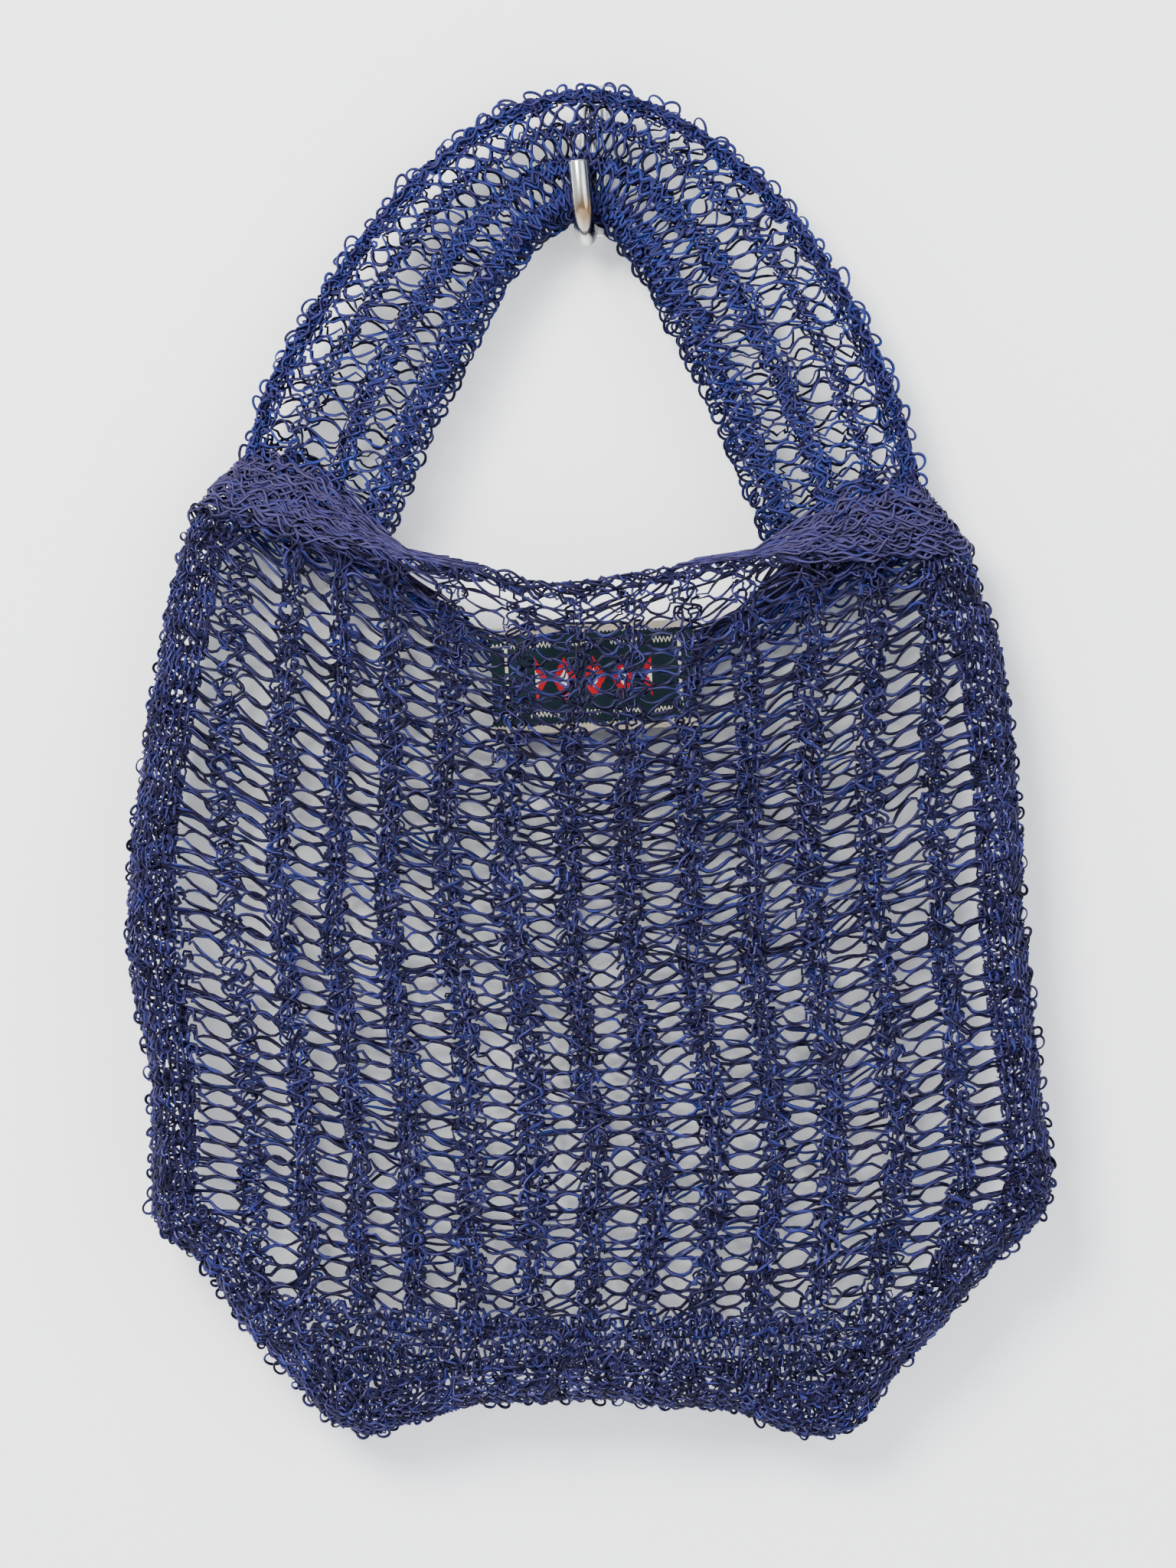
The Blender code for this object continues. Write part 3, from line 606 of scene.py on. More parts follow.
def band_strands(side, count, seed):
    """Strands along the bottom band that rise and fall between random stops."""
    rng = default_rng(seed)
    u = np.arange(-BAND_HALF_WIDTH, BAND_HALF_WIDTH, BAND_STEP)[None] + 0 * np.arange(count)[:, None]
    base = np.linspace(BOTTOM_BAND_TOP + 1.0, BAND_BOTTOM, count)[:, None]
    n = np.arange(u.shape[1]) * BAND_STEP / BAND_STOP
    v = between(rng.uniform(-3.2, 3.2, (count, int(n[-1]) + 2)), n)
    lift = between(rng.uniform(-0.8, 1.0, (count, int(n[-1]) + 2)), n)
    x, z = hung_place(u + rng.uniform(-3, 3, (count, 1)), base, v)
    return on_panel(side, x, z, lift, rng.uniform(0.0, 1.0, count))


def panel_seams(side, top, bottom, seed):
    """Strands that follow the seams between holes: v = the ladder's seam, on some a whole hole higher."""
    rng = default_rng(seed)
    ladders = np.arange(len(LADDERS))
    row = np.arange(int((top - bottom) / (2 * COURSE_PITCH)))[:, None]
    seam = np.where(np.isin(ladders, STAGGERED), -0.5, 0.5) * COURSE_PITCH
    climb = (ladders + row + rng.integers(0, 2, row.shape)) // 2 % 2
    stops = np.repeat(seam + 2 * COURSE_PITCH * climb, 2, axis=1)
    stops = stops + rng.uniform(-0.45, 0.45, stops.shape)
    places = (LADDERS[:, None] + np.array((-SEAM_HALF, SEAM_HALF))).ravel()
    u = np.arange(-SEAM_REACH, SEAM_REACH, SEAM_STEP)
    n = np.interp(u, places, np.arange(len(places)))
    level = top - 2 * COURSE_PITCH * row
    x, z = hung_place(u[None] + 0 * level, level, between(np.hstack((stops, stops[:, -1:])), n))
    depth = 0.7 + 0.4 * rng.uniform(-1, 1, x.shape)
    return on_panel(side, x, z, depth, rng.uniform(0.0, 1.0, len(row)), margin=4.0)


def loose_strands(side, top, bottom, count, seed):
    """Single strands from one rib to another: v = slope (u - middle) + 1.2 sin(u / 5 + phase)."""
    rng = default_rng(seed)
    first = rng.integers(2, len(RIBS) - 2, count)
    ends = np.stack((RIBS[first], RIBS[first + rng.integers(1, 3, count)]))
    ends = ends + rng.uniform(-2, 2, (2, count))
    u = ends[0][:, None] + np.linspace(0.0, 1.0, LOOSE_STEPS) * (ends[1] - ends[0])[:, None]
    level = rng.uniform(bottom, top, (count, 1))
    slope = rng.choice((-0.45, -0.2, 0.25, 0.5), (count, 1)) * rng.uniform(0.7, 1.2, (count, 1))
    phase = rng.uniform(0, 2 * pi, (count, 1))
    v = slope * (u - u.mean(1, keepdims=True)) + 1.2 * np.sin(u / 5 + phase)
    x, z = hung_place(u, level, v)
    return on_panel(side, x, z, 1.1 + 0.3 * rng.uniform(-1, 1, u.shape), rng.uniform(0.0, 1.0, count))


# %% [markdown]
# The rims are cast off, so they are cords of strands that twist round each other. The back rim rolls over
# towards the eye and has more of them. Then all the yarn of a panel is swept, in an upper and a lower half,
# so that neither piece gets too large.

# %% Rims, and the four halves of the panels
RIM_STEP = 0.9
# How low, how high, how long, how far along and how far out each strand of a rim's cord waves
RIM_WAVES = (
    (-1.4, 1.7, 19.0, 0.0, 0.0),
    (-1.4, 1.7, 19.0, pi, 0.4),
    (-1.1, 1.5, 18.0, 0.5, 0.5),
    (-1.2, 1.5, 20.0, pi + 0.5, -0.3),
    (-0.2, 0.6, 6.3, 0.0, 0.3),
    (-2.9, 0.8, 7.4, 1.0, 0.2),
    (-0.6, 1.0, 4.1, 2.0, 0.0),
    (-2.3, 1.2, 5.2, 3.0, 0.4),
)
ROLLED_WAVES = (
    (-3.6, 1.3, 11.0, 0.0, 0.5),
    (-4.8, 1.5, 13.0, 2.0, -0.4),
    (-6.0, 1.4, 9.0, 4.0, 0.4),
    (-7.3, 1.5, 12.0, 1.0, 0.3),
    (-5.2, 1.0, 5.1, 3.0, 0.6),
    (-8.6, 1.6, 10.0, 5.0, -0.3),
)


def rim_strands(side, seed):
    """The cast-off edge: strands that twist round each other along the rim, v = low + rise sin(beat)."""
    rng = default_rng(seed)
    s = np.arange(0.0, len(RIMS[side]) - 1.0, RIM_STEP)
    x0, z0 = at_run(RIMS[side], s)
    paths = []
    for low, rise, period, phase, lift in RIM_WAVES + (ROLLED_WAVES if side == BACK else ()):
        beat = 2 * pi * s / period + phase + 0.8 * wander(rng, len(s), 14)
        swell = 1 + 0.4 * wander(rng, len(s), 12)
        z = z0 + low + rise * np.sin(beat) * swell + 0.3 * wander(rng, len(s), 5)
        height = lift + 0.5 * np.cos(beat) + 0.3 * wander(rng, len(s), 6)
        points, normals = lay(PANEL[side], x0, z, height, outward=side)
        paths.append((points[3:-3], normals[3:-3], rng.uniform(0, 1)))
    return paths


middle = NET_TOP - COURSE_PITCH * UPPER_COURSES
columns = [
    (u, HOLE_WIDTH + HOLE_WIDENING * abs(u), -1.0 if k in STAGGERED else 1.0)
    for k, u in enumerate(LADDERS.tolist())
]
zones = lace_zones(columns, -HALF_LACE, HALF_LACE)
plain = [(-PLAIN_HALF_WIDTH, PLAIN_HALF_WIDTH, 0.0)]
halves = (("upper", NET_TOP, middle, 85), ("lower", middle, BOTTOM_BAND_TOP, 30))
nets = []
for side, name, seed in ((FRONT, "net_front", 11), (BACK, "net_back", 31)):
    for k, (half, top, bottom, loose) in enumerate(halves):
        paths = panel_courses(side, zones, top, bottom, COURSE_PITCH, HOLE_BOW, seed + k)
        paths += rib_zigzags(side, top, bottom, seed + 40 + 2 * k)
        paths += panel_seams(side, top, bottom, seed + 41 + 2 * k)
        if half == "upper":
            paths += rim_strands(side, seed + 60)
        paths += loose_strands(side, top, bottom, loose, seed + 44 + k)
        if half == "lower":
            paths += panel_courses(side, plain, bottom, PLAIN_BOTTOM, PLAIN_PITCH, 0.0, seed + 50)
            paths += band_strands(side, 15, seed + 51)
        nets.append((side, sweep(f"{name}_{half}", paths, seed + 70 + k)))


# %% [markdown]
# ## The close-knitted edge
#
# Along the sides, the slanting corners and the bottom the fabric is knitted without holes and turns from
# the front to the back. Its courses run round the edge, so that each is a short path across the turn, with
# a zigzag, and longer strands lie across them at a slant. Single loops stand out of the outermost line,
# where the needle caught the edge stitches.

# %% Edge courses and the loops that stand out of them
EDGE_PITCH = 2.7
EDGE_GIRTH = 33.0
EDGE_STITCH = 3.3
EDGE_LOOP_HEIGHT = 2.0
EDGE_ZIGZAG, EDGE_ZIGZAG_HALF = 1.3, 5.5
EDGE_SLANT = 0.22
EDGE_LOOP_RADIUS = 1.45
EDGE_LOOP_SPACING = 5.0
EDGE_STRIP = 6.5  # of the girth at each end, flat on a panel


def turn_at(girth):
    """The turn for a distance along the girth: a flat strip at each end, and the bend between them."""
    half = EDGE_GIRTH / 2
    stops = (-half, -half + EDGE_STRIP, half - EDGE_STRIP, half)
    return np.interp(girth, stops, (-1.0, -0.5, 0.5, 1.0))


def on_edge(run, girth, depth, tones):
    """Lays rows on the rounded edge and cuts them at its two ends."""
    keep = (run > 1.0) & (run < EDGE_LENGTH - 1.0)
    points, normals = lay(edge_place, run, turn_at(girth), depth)
    return unbroken(points, normals, keep, tones)


def edge_courses(first, last, seed):
    """Plain loops from the front strip round to the back one: run = start + v + zigzag + slant u."""
    rng = default_rng(seed)
    courses = int((last - first) / EDGE_PITCH)
    half = EDGE_GIRTH / 2
    u, v, depth = lace([(-half, half, 0.0)], courses, EDGE_STITCH, EDGE_LOOP_HEIGHT, 0, 0, seed + 1)
    start = first + EDGE_PITCH * (np.arange(courses) + rng.uniform(-0.3, 0.3, courses))
    run = start[:, None] + v + EDGE_ZIGZAG * np.abs((u / EDGE_ZIGZAG_HALF) % 2 - 1) + EDGE_SLANT * u
    run = run + drift(u * 2, run, seed + 2, 0.9)
    return on_edge(run, u, depth * 1.4 + drift(u * 2, run, seed + 3, 0.7), rng.uniform(0.0, 1.0, courses))


def edge_slants(first, last, spacing, slope, seed):
    """Strands from the edge's outermost line inwards: run = start + slope |girth| + ripple."""
    rng = default_rng(seed)
    rows = int((last - first) / spacing)
    start = first + spacing * (np.arange(rows)[:, None] + rng.uniform(-0.4, 0.4, (rows, 1)))
    u = np.linspace(-0.5 * EDGE_GIRTH - 2.0, 0.5 * EDGE_GIRTH, 26)[None] + 0 * start
    ripple = np.sin(u / 1.9 + rng.uniform(0, 2 * pi, (rows, 1))) * rng.uniform(0.3, 1.1, (rows, 1))
    run = start + slope * np.abs(u) * rng.uniform(0.6, 1.4, (rows, 1)) + ripple
    lift = 0.7 + 0.5 * rng.uniform(-1, 1, u.shape)
    return on_edge(run, np.clip(u, -EDGE_GIRTH / 2, EDGE_GIRTH / 2), lift, rng.uniform(0.0, 1.0, rows))


def standing_loops(place, along, across, radius, reach, seed, flip=1.0):
    """Loops open at the foot: base + outward (reach + r cos a) + along (r sin a + swing rise)."""
    rng = default_rng(seed)
    base = place(along, across)
    ahead = unit(place(along + 0.5, across) - base)
    beyond = flip * unit(np.cross(ahead, np.array([0.0, 1.0, 0.0])))
    angle = np.linspace(-0.86 * pi, 0.86 * pi, 15)[None, :, None]
    r = (radius * rng.uniform(0.6, 1.3, len(along)))[:, None, None]
    swing = rng.uniform(-0.6, 0.6, len(along))[:, None, None]
    squeeze = rng.uniform(0.7, 1.2, len(along))[:, None, None]
    lean = rng.uniform(-0.8, 0.8, len(along))[:, None, None]
    rise = reach + r * np.cos(angle) * squeeze
    ring = base[:, None] + beyond[:, None] * rise + ahead[:, None] * (r * np.sin(angle) + swing * rise)
    ring = ring + np.array([0.0, 1.0, 0.0]) * (lean * np.cos(angle) + 0.35 * np.sin(angle))
    normals = np.broadcast_to(unit(np.cross(ahead, beyond))[:, None], ring.shape)
    return [(ring[k], normals[k], rng.uniform(0, 1)) for k in range(len(along))]


def spread_out(first, last, spacing, seed):
    """Places along a line at about the given spacing, each moved by up to a third of it."""
    rng = default_rng(seed)
    marks = np.arange(first, last, spacing)
    return marks + rng.uniform(-spacing / 3, spacing / 3, len(marks))


split = EDGE_LENGTH / 2
edges = []
for name, first, last, seed in (("edge_left", 0.0, split, 101), ("edge_right", split, EDGE_LENGTH, 131)):
    paths = edge_courses(first, last, seed)
    paths += edge_slants(first, last, 3.2, 0.6, seed + 10) + edge_slants(first, last, 4.6, -0.4, seed + 11)
    marks = spread_out(first + 2, last - 2, EDGE_LOOP_SPACING, seed + 5)
    turns = default_rng(seed + 6).uniform(-0.2, 0.2, len(marks))
    paths += standing_loops(edge_place, marks, turns, EDGE_LOOP_RADIUS, 0.6, seed + 7, flip=-1.0)
    edges.append(sweep(name, paths, seed + 8))


# %% [markdown]
# ## The strap
#
# The handle is a narrower piece of the same lace, folded once along its outer edge. Its courses run
# across, so each goes from the open edge in front, round the fold, to the open edge behind. The pull of
# the bag opens its holes into rounded hexagons, and on the right half it draws the courses together in fours
# at the two outer ladders, which makes longer holes there. Strands run along the ribs, and round loops stand
# out along the fold and both open edges. Both ends run on under the gathered shoulders.

# %% Strap courses
STRAP_PITCH = 3.1
STRAP_STITCH, STRAP_LOOP, STRAP_BOW = 3.1, 2.2, 1.4
STRAP_TAIL = 7.0
STRAP_FLOATS = ((10.2, 5.6, 0.9), (19.6, 6.6, -1.0), (30.4, 5.0, 0.7))
CHAINS = ((2.6, 3.0, 5), (14.8, 1.2, 2), (25.2, 1.6, 3), (36.0, 3.2, 5))  # rib, spread and count
CHAIN_STEP = 1.15
LONG_HOLE_PITCH = 4 * STRAP_PITCH
LONG_HOLE_PULL = 1.6
LONG_HOLES_FROM, LONG_HOLES_GROW = 160.0, 30.0
STRAP_LOOPS = (
    (0.0, 6.6, 1.9, 1.0, 211),
    (-3.0, 6.4, 1.9, 1.0, 214),
    (-39.0, 3.9, 1.9, -1.0, 212),
    (39.0, 3.9, 1.9, -1.0, 213),
)


def on_strap(along, across, depth, tones):
    """Lays rows on the strap, held back from its open edges and cut at the ends of its tails."""
    keep = (along > -STRAP_TAIL) & (along < STRAP_LENGTH + STRAP_TAIL)
    across = np.clip(across, -STRAP_HALF_WIDTH + 0.3, STRAP_HALF_WIDTH - 0.3)
    points, normals = lay(strap_place, along, across, depth)
    return unbroken(points, normals, keep, tones)


def drawn_together(along, across):
    """Moves courses by -pull sin(beat) at the outer ladder, and by pull sin(beat - pi/2) at the next."""
    share = LONG_HOLE_PULL * np.clip((along - LONG_HOLES_FROM) / LONG_HOLES_GROW, 0.0, 1.0)
    beat = 2 * pi * (along - 0.75) / LONG_HOLE_PITCH
    outer = np.exp(-(((np.abs(across) - 9.5) / 3.4) ** 2))
    second = np.exp(-(((np.abs(across) - 19.0) / 3.6) ** 2))
    return along - share * (outer * np.sin(beat) - second * np.sin(beat - pi / 2))


def strap_paths(seed):
    """Lace rows across the band, one after another along it."""
    rng = default_rng(seed)
    courses = int((STRAP_LENGTH + 2 * STRAP_TAIL) / STRAP_PITCH)
    floats = [(-c, w, s) for c, w, s in STRAP_FLOATS[::-1]] + list(STRAP_FLOATS)
    zones = lace_zones(floats, -STRAP_HALF_WIDTH + 0.5, STRAP_HALF_WIDTH - 0.5)
    u, v, depth = lace(zones, courses, STRAP_STITCH, STRAP_LOOP, STRAP_BOW, HOLE_PINCH, seed + 1)
    along = STRAP_PITCH * (np.arange(courses) + rng.uniform(-0.12, 0.12, courses))[:, None]
    along = along + v - STRAP_TAIL
    along = drawn_together(along, u)
    along, u = along + drift(u, along, seed + 2, 1.1), u + drift(u, along, seed + 3, 1.0)
    return on_strap(along, u, depth * 1.2 + drift(u, along, seed + 4, 0.6), rng.uniform(0.0, 1.0, courses))


def strap_chains(seed):
    """Strands that run along the ribs in waves: across = rib + swing sin(along / pitch + phase) + wander."""
    rng = default_rng(seed)
    paths = []
    for rib, spread, count in CHAINS:
        for side in (-1, 1):
            for _ in range(count):
                along = np.arange(-STRAP_TAIL, STRAP_LENGTH + STRAP_TAIL, CHAIN_STEP)
                swing = rng.uniform(0.9, 1.9) * np.sin(along / rng.uniform(0.8, 1.3) + rng.uniform(0, 6))
                across = side * rib + rng.uniform(-spread, spread) + swing + 1.8 * wander(rng, len(along), 12)
                lift = rng.choice((-1, 1)) * 0.7 + 0.5 * wander(rng, len(along), 5)
                paths += on_strap(along[None], across[None], lift[None], [rng.uniform(0, 1)])
    return paths


paths = strap_paths(201) + strap_chains(202)
for across, spacing, radius, flip, seed in STRAP_LOOPS:
    marks = spread_out(1 - STRAP_TAIL, STRAP_LENGTH + STRAP_TAIL, spacing, seed)
    place = np.full(len(marks), across)
    paths += standing_loops(strap_place, marks, place, radius, 0.6, seed + 20, flip)
strap_net = sweep("net_strap", paths, 240)


# %% [markdown]
# ## The gathered shoulders
#
# Where the strap is sewn on, the fabric is drawn together into a dense pleated band. Here the yarn no longer
# shows as loops but as parallel strands that cross at a slant, and it gets darker colours and a higher
# roughness.

# %% Shoulder strands
SHOULDER_EDGE_SHARE = 0.12
GATHER_STRANDS = 122
GATHER_WIDTH = 0.95
SHOULDERS = (("gather_left", -50.0, 0, 301), ("gather_right", 45.0, -1, 331))


def rim_line(across, inner, end):
    """A point just above the rim: across -1 in front at inner, 0 on the outer edge, 1 behind."""
    edge_x, edge_z = EDGE[end]
    sign = np.sign(edge_x)
    panel_end = edge_x - sign * EDGE_BULGE
    share = np.clip((np.abs(across) - SHOULDER_EDGE_SHARE) / (1 - SHOULDER_EDGE_SHARE), 0.0, 1.5)
    x = panel_end + (inner - panel_end) * share
    rows = []
    for side in (FRONT, BACK):
        rows.append(PANEL[side](x, np.where(share > 0, rim_at(side, x), edge_z)))
    angle = np.clip(across / SHOULDER_EDGE_SHARE, -1.0, 1.0) * pi / 2
    mixed = rows[0] + (rows[1] - rows[0]) * ((1 + np.sin(angle)) / 2)[..., None]
    mixed[..., 0] += sign * EDGE_BULGE * np.cos(angle)
    return mixed


def shoulder_place(inner, end):
    """Between the rim, at height 0, and the strap's end, at height 1, for across from -1 to 1."""
    along = 0.0 if end == 0 else STRAP_LENGTH

    def place(across, height):
        low = rim_line(across, inner, end)
        high = strap_place(np.full(np.shape(across), along), np.clip(across, -1.0, 1.0) * STRAP_HALF_WIDTH)
        return low + (high - low) * height[..., None]

    return place


def shoulder_paths(inner, end, count, seed):
    """Strands along the band whose height wanders, from a random start to a random end."""
    rng = default_rng(seed)
    place = shoulder_place(inner, end)
    outward = 1.0 if end else -1.0
    paths = []
    for _ in range(count):
        first, last = np.sort(rng.uniform(-1.4, 1.4, 2))
        if last - first < 0.4:
            first, last = first - 0.2, last + 0.2
        across = np.arange(first, last, 0.02)
        taper = 1.0 - 0.9 * np.clip((np.abs(across) - 0.5) / 0.55, 0, 1) ** 1.2
        ripple = rng.uniform(0.04, 0.12) * np.sin(across * rng.uniform(22, 60) + rng.uniform(0, 6))
        height = rng.uniform(-0.1, 1.2) + 0.25 * wander(rng, len(across), 11) + ripple
        height = np.clip(height + rng.uniform(-0.5, 0.5) * across, -0.6, 1.45) * taper
        lift = 0.5 + 1.1 * wander(rng, len(across), 5) + 0.4 * wander(rng, len(across), 2.5)
        lift = lift * (0.3 + 0.7 * taper)
        base = place(across, height)
        beside, above = place(across + 0.01, height) - base, place(across, height + 0.05) - base
        normal = unit(np.cross(beside, above)) * outward
        paths.append((base + normal * lift[:, None], normal, rng.uniform(0, 1)))
    return paths


gathers = []
for name, inner, end, seed in SHOULDERS:
    paths = shoulder_paths(inner, end, GATHER_STRANDS, seed)
    gathers.append(sweep(name, paths, seed + 5, width=GATHER_WIDTH))


# %% [markdown]
# ## The sewn-in label
#
# Inside the back panel, at its rim, a small woven label is stitched on. It is a stiff little plate of
# ribbon, so it is a closed box here, bent to follow the panel behind it, with a UV map for its pattern.

# %% Label plate
LABEL_SIZE = (53.4, 28.0)
LABEL_CENTRE = (0.9, -135.8)
LABEL_TILT = 0.05
LABEL_THICKNESS = 0.7
LABEL_OFFSET = 1.9
LABEL_GRID = (61, 31)


def closed_grid(name, front, back, uv_name):
    """Joins two equal grids of points into a closed plate, with a strip of faces all round."""
    rows, columns = front.shape[:2]
    index = np.arange(rows * columns).reshape(rows, columns)
    a, b, c, d = index[:-1, :-1], index[1:, :-1], index[1:, 1:], index[:-1, 1:]
    face = np.stack((a, b, c, d), axis=-1).reshape(-1, 4)
    rim = np.concatenate((index[0, :-1], index[:-1, -1], index[-1, :0:-1], index[:0:-1, 0]))
    after = np.roll(rim, -1)
    far = rows * columns
    strip = np.stack((rim, after, after + far, rim + far), axis=-1)
    faces = np.vstack((face, face[:, ::-1] + far, strip))
    mesh = bpy.data.meshes.new(name)
    points = np.vstack((front.reshape(-1, 3), back.reshape(-1, 3)))
    mesh.from_pydata((points * MM).tolist(), [], faces.tolist())
    u, v = np.meshgrid(np.linspace(0, 1, rows), np.linspace(0, 1, columns), indexing="ij")
    flat = np.tile(np.column_stack((u.ravel(), v.ravel())), (2, 1))
    uv = mesh.uv_layers.new(name=uv_name)
    uv.data.foreach_set("uv", flat[faces.ravel()].astype(np.float32).ravel())
    return add_object(name, mesh)


def label_points(offset):
    """The label's grid, tilted about its centre, this far in front of the back panel and slightly curled."""
    u, v = np.meshgrid(*(np.linspace(-0.5, 0.5, count) for count in LABEL_GRID), indexing="ij")
    fray = 0.12 * np.sin(u * 190) * (np.abs(v) > 0.49) + 0.1 * np.sin(v * 150) * (np.abs(u) > 0.49)
    a, b = LABEL_SIZE[0] * u + fray * np.sign(u), LABEL_SIZE[1] * v + fray * np.sign(v)
    x = LABEL_CENTRE[0] + a * np.cos(LABEL_TILT) - b * np.sin(LABEL_TILT)
    z = LABEL_CENTRE[1] + a * np.sin(LABEL_TILT) + b * np.cos(LABEL_TILT)
    place = PANEL[BACK](x, z)
    place[..., 1] -= offset + 0.25 * np.sin(9 * u + 1) * np.cos(7 * v)
    return place


label_front = label_points(LABEL_OFFSET + LABEL_THICKNESS)
label = closed_grid("sewn_label", label_front, label_points(LABEL_OFFSET), "face")
print("label corner", np.round(label_points(LABEL_OFFSET)[0, 0], 1))


# %% [markdown]
# ## The steel hook
#
# A flat plate on the wall and a round rod, bent like a J, from which the strap hangs. The rod's bright
# skin mirrors the room, so it needs a smooth, finely divided surface more than it needs detail.

# %% Hook plate and rod
PLATE = (8.0, 3.0, 40.0)
ROD_RADIUS = 2.7
STEM_Y = -5.2
BEND_RADIUS = 8.0
BEND_Z = -12.6
ROD_TOP = 15.0
TIP_TOP = -1.8
SWAY = -3.1
ROD_SIDES = 40
ROD_ROUNDING = 0.5
PLATE_ROUNDING = 0.6


def rod_line():
    """Down the stem, round a half circle and up to the tip, swaying sideways with the distance run."""
    angle = np.linspace(0, pi, 49)
    y, z = STEM_Y - BEND_RADIUS * (1 - np.cos(angle)), BEND_Z - BEND_RADIUS * np.sin(angle)
    bend = np.column_stack((0 * angle, y, z))
    line = np.vstack(((0, STEM_Y, ROD_TOP), bend, (0, STEM_Y - 2 * BEND_RADIUS, TIP_TOP)))
    run = np.concatenate(([0], np.cumsum(np.linalg.norm(np.diff(line, axis=0), axis=1))))
    line[:, 0] = SWAY * np.clip((run - run[1]) / (run[-1] - run[1]), 0, 1)
    return line


def rod_mesh():
    """Rings of radius r about the line; at each end five shrink, r - e (1 - cos a), to round the rim."""
    line = rod_line()
    turn = np.linspace(0, pi / 2, 5)[:, None]
    ends = []
    for tip, beside in ((line[0], line[1]), (line[-1], line[-2])):
        inward = unit(beside - tip)
        radii = ROD_RADIUS - ROD_ROUNDING * (1 - np.cos(turn[:, 0]))
        ends.append((tip + inward * ROD_ROUNDING * (1 - np.sin(turn)), radii))
    centre = np.vstack((ends[0][0][::-1], line[1:-1], ends[1][0]))
    radius = np.concatenate((ends[0][1][::-1], np.full(len(line) - 2, ROD_RADIUS), ends[1][1]))
    ahead = unit(np.gradient(centre, axis=0))
    side = unit(np.array([1.0, 0, 0]) - ahead * ahead[:, :1])
    over = np.cross(ahead, side)
    angle = 2 * pi * np.arange(ROD_SIDES) / ROD_SIDES
    ring = np.cos(angle)[None, :, None] * side[:, None] + np.sin(angle)[None, :, None] * over[:, None]
    points = centre[:, None] + radius[:, None, None] * ring
    index = np.arange(len(centre) * ROD_SIDES).reshape(len(centre), ROD_SIDES)
    near, far = index[:-1], index[1:]
    walls = np.stack((near, np.roll(near, -1, 1), np.roll(far, -1, 1), far), axis=-1).reshape(-1, 4)
    mesh = bpy.data.meshes.new("hook_rod")
    caps = [index[0][::-1].tolist(), index[-1].tolist()]
    mesh.from_pydata((points.reshape(-1, 3) * MM).tolist(), [], walls.tolist() + caps)
    mesh.polygons.foreach_set("use_smooth", [True] * len(walls) + [False] * 2)
    return mesh


def plate_mesh():
    """A box from its eight corners, with its back on the wall."""
    x, y, z = (np.array(PLATE) / 2 * MM).tolist()
    corners = [(i * x, -y + j * y, k * z) for i in (-1, 1) for j in (-1, 1) for k in (-1, 1)]
    mesh = bpy.data.meshes.new("hook_plate")
    faces = [(0, 1, 3, 2), (4, 6, 7, 5), (0, 4, 5, 1), (2, 3, 7, 6), (0, 2, 6, 4), (1, 5, 7, 3)]
    mesh.from_pydata(corners, [], faces)
    return mesh


rod = add_object("hook_rod", rod_mesh())
plate = add_object("hook_plate", plate_mesh())
bevel = plate.modifiers.new("rounded", "BEVEL")
bevel.width = PLATE_ROUNDING * MM
bevel.segments = 3
plate.data.polygons.foreach_set("use_smooth", [True] * 6)
print("hook faces", len(rod.data.polygons) + len(plate.data.polygons))


# %% [markdown]
# ## Materials
#
# The materials are small formulas. A wrapper class lets a socket be added and multiplied like a number,
# so that a formula reads as one line, and one method makes every other kind of node.

# %% A socket that can be calculated with
def operator(operation, turned=False):
    """An operator that adds one Math node, with its two values turned round in some reflected forms."""
    return lambda self, other: self.math(operation, *((other, self) if turned else (self, other)))


class Shade:
    """One output of a node tree; arithmetic on it adds the nodes that work out the result."""

    def __init__(self, tree, port=None):
        self.tree = tree
        self.port = port

    def node(self, kind, settings=None, output=0, inputs=None):
        """A new node with its settings, then its inputs, which are values or other sockets."""
        made = self.tree.nodes.new(kind)
        for key, value in (settings or {}).items():
            setattr(made, key, value)
        for key, value in (inputs or {}).items():
            if isinstance(value, Shade):
                self.tree.links.new(value.port, made.inputs[key])
            else:
                made.inputs[key].default_value = value
        return Shade(self.tree, made.outputs[output])

    def math(self, operation, *values):
        return self.node("ShaderNodeMath", {"operation": operation}, 0, dict(enumerate(values)))

    __add__ = __radd__ = operator("ADD")
    __mul__ = __rmul__ = operator("MULTIPLY")
    __sub__, __rsub__ = operator("SUBTRACT"), operator("SUBTRACT", turned=True)
    __truediv__ = operator("DIVIDE")
    __gt__, __lt__ = operator("GREATER_THAN"), operator("LESS_THAN")

    def sine(self):
        return self.math("SINE", self)

    def fraction(self):
        return self.math("FRACT", self)

    def size(self):
        return self.math("ABSOLUTE", self)

    def held(self):
        return self.node("ShaderNodeClamp", None, 0, {0: self})

    def blend(self, low, high):
        """The colour low where this value is 0 and high where it is 1."""
        return self.node("ShaderNodeMix", {"data_type": "RGBA"}, 2, {0: self, 6: low, 7: high})

    def uv(self, name):
        return self.node("ShaderNodeUVMap", {"uv_map": name}, 0)

    def object_place(self):
        return self.node("ShaderNodeTexCoord", None, 3)

    def noise(self, where, scale, detail=2.0):
        inputs = {"Vector": where, "Scale": scale, "Detail": detail}
        return self.node("ShaderNodeTexNoise", {"noise_dimensions": "3D"}, 0, inputs)

    def split(self):
        parts = self.node("ShaderNodeSeparateXYZ", None, 0, {0: self}).port.node.outputs
        return [Shade(self.tree, part) for part in parts]

    def bump(self, height, strength, distance):
        inputs = {"Height": height, "Strength": strength, "Distance": distance}
        return self.node("ShaderNodeBump", None, 0, inputs)


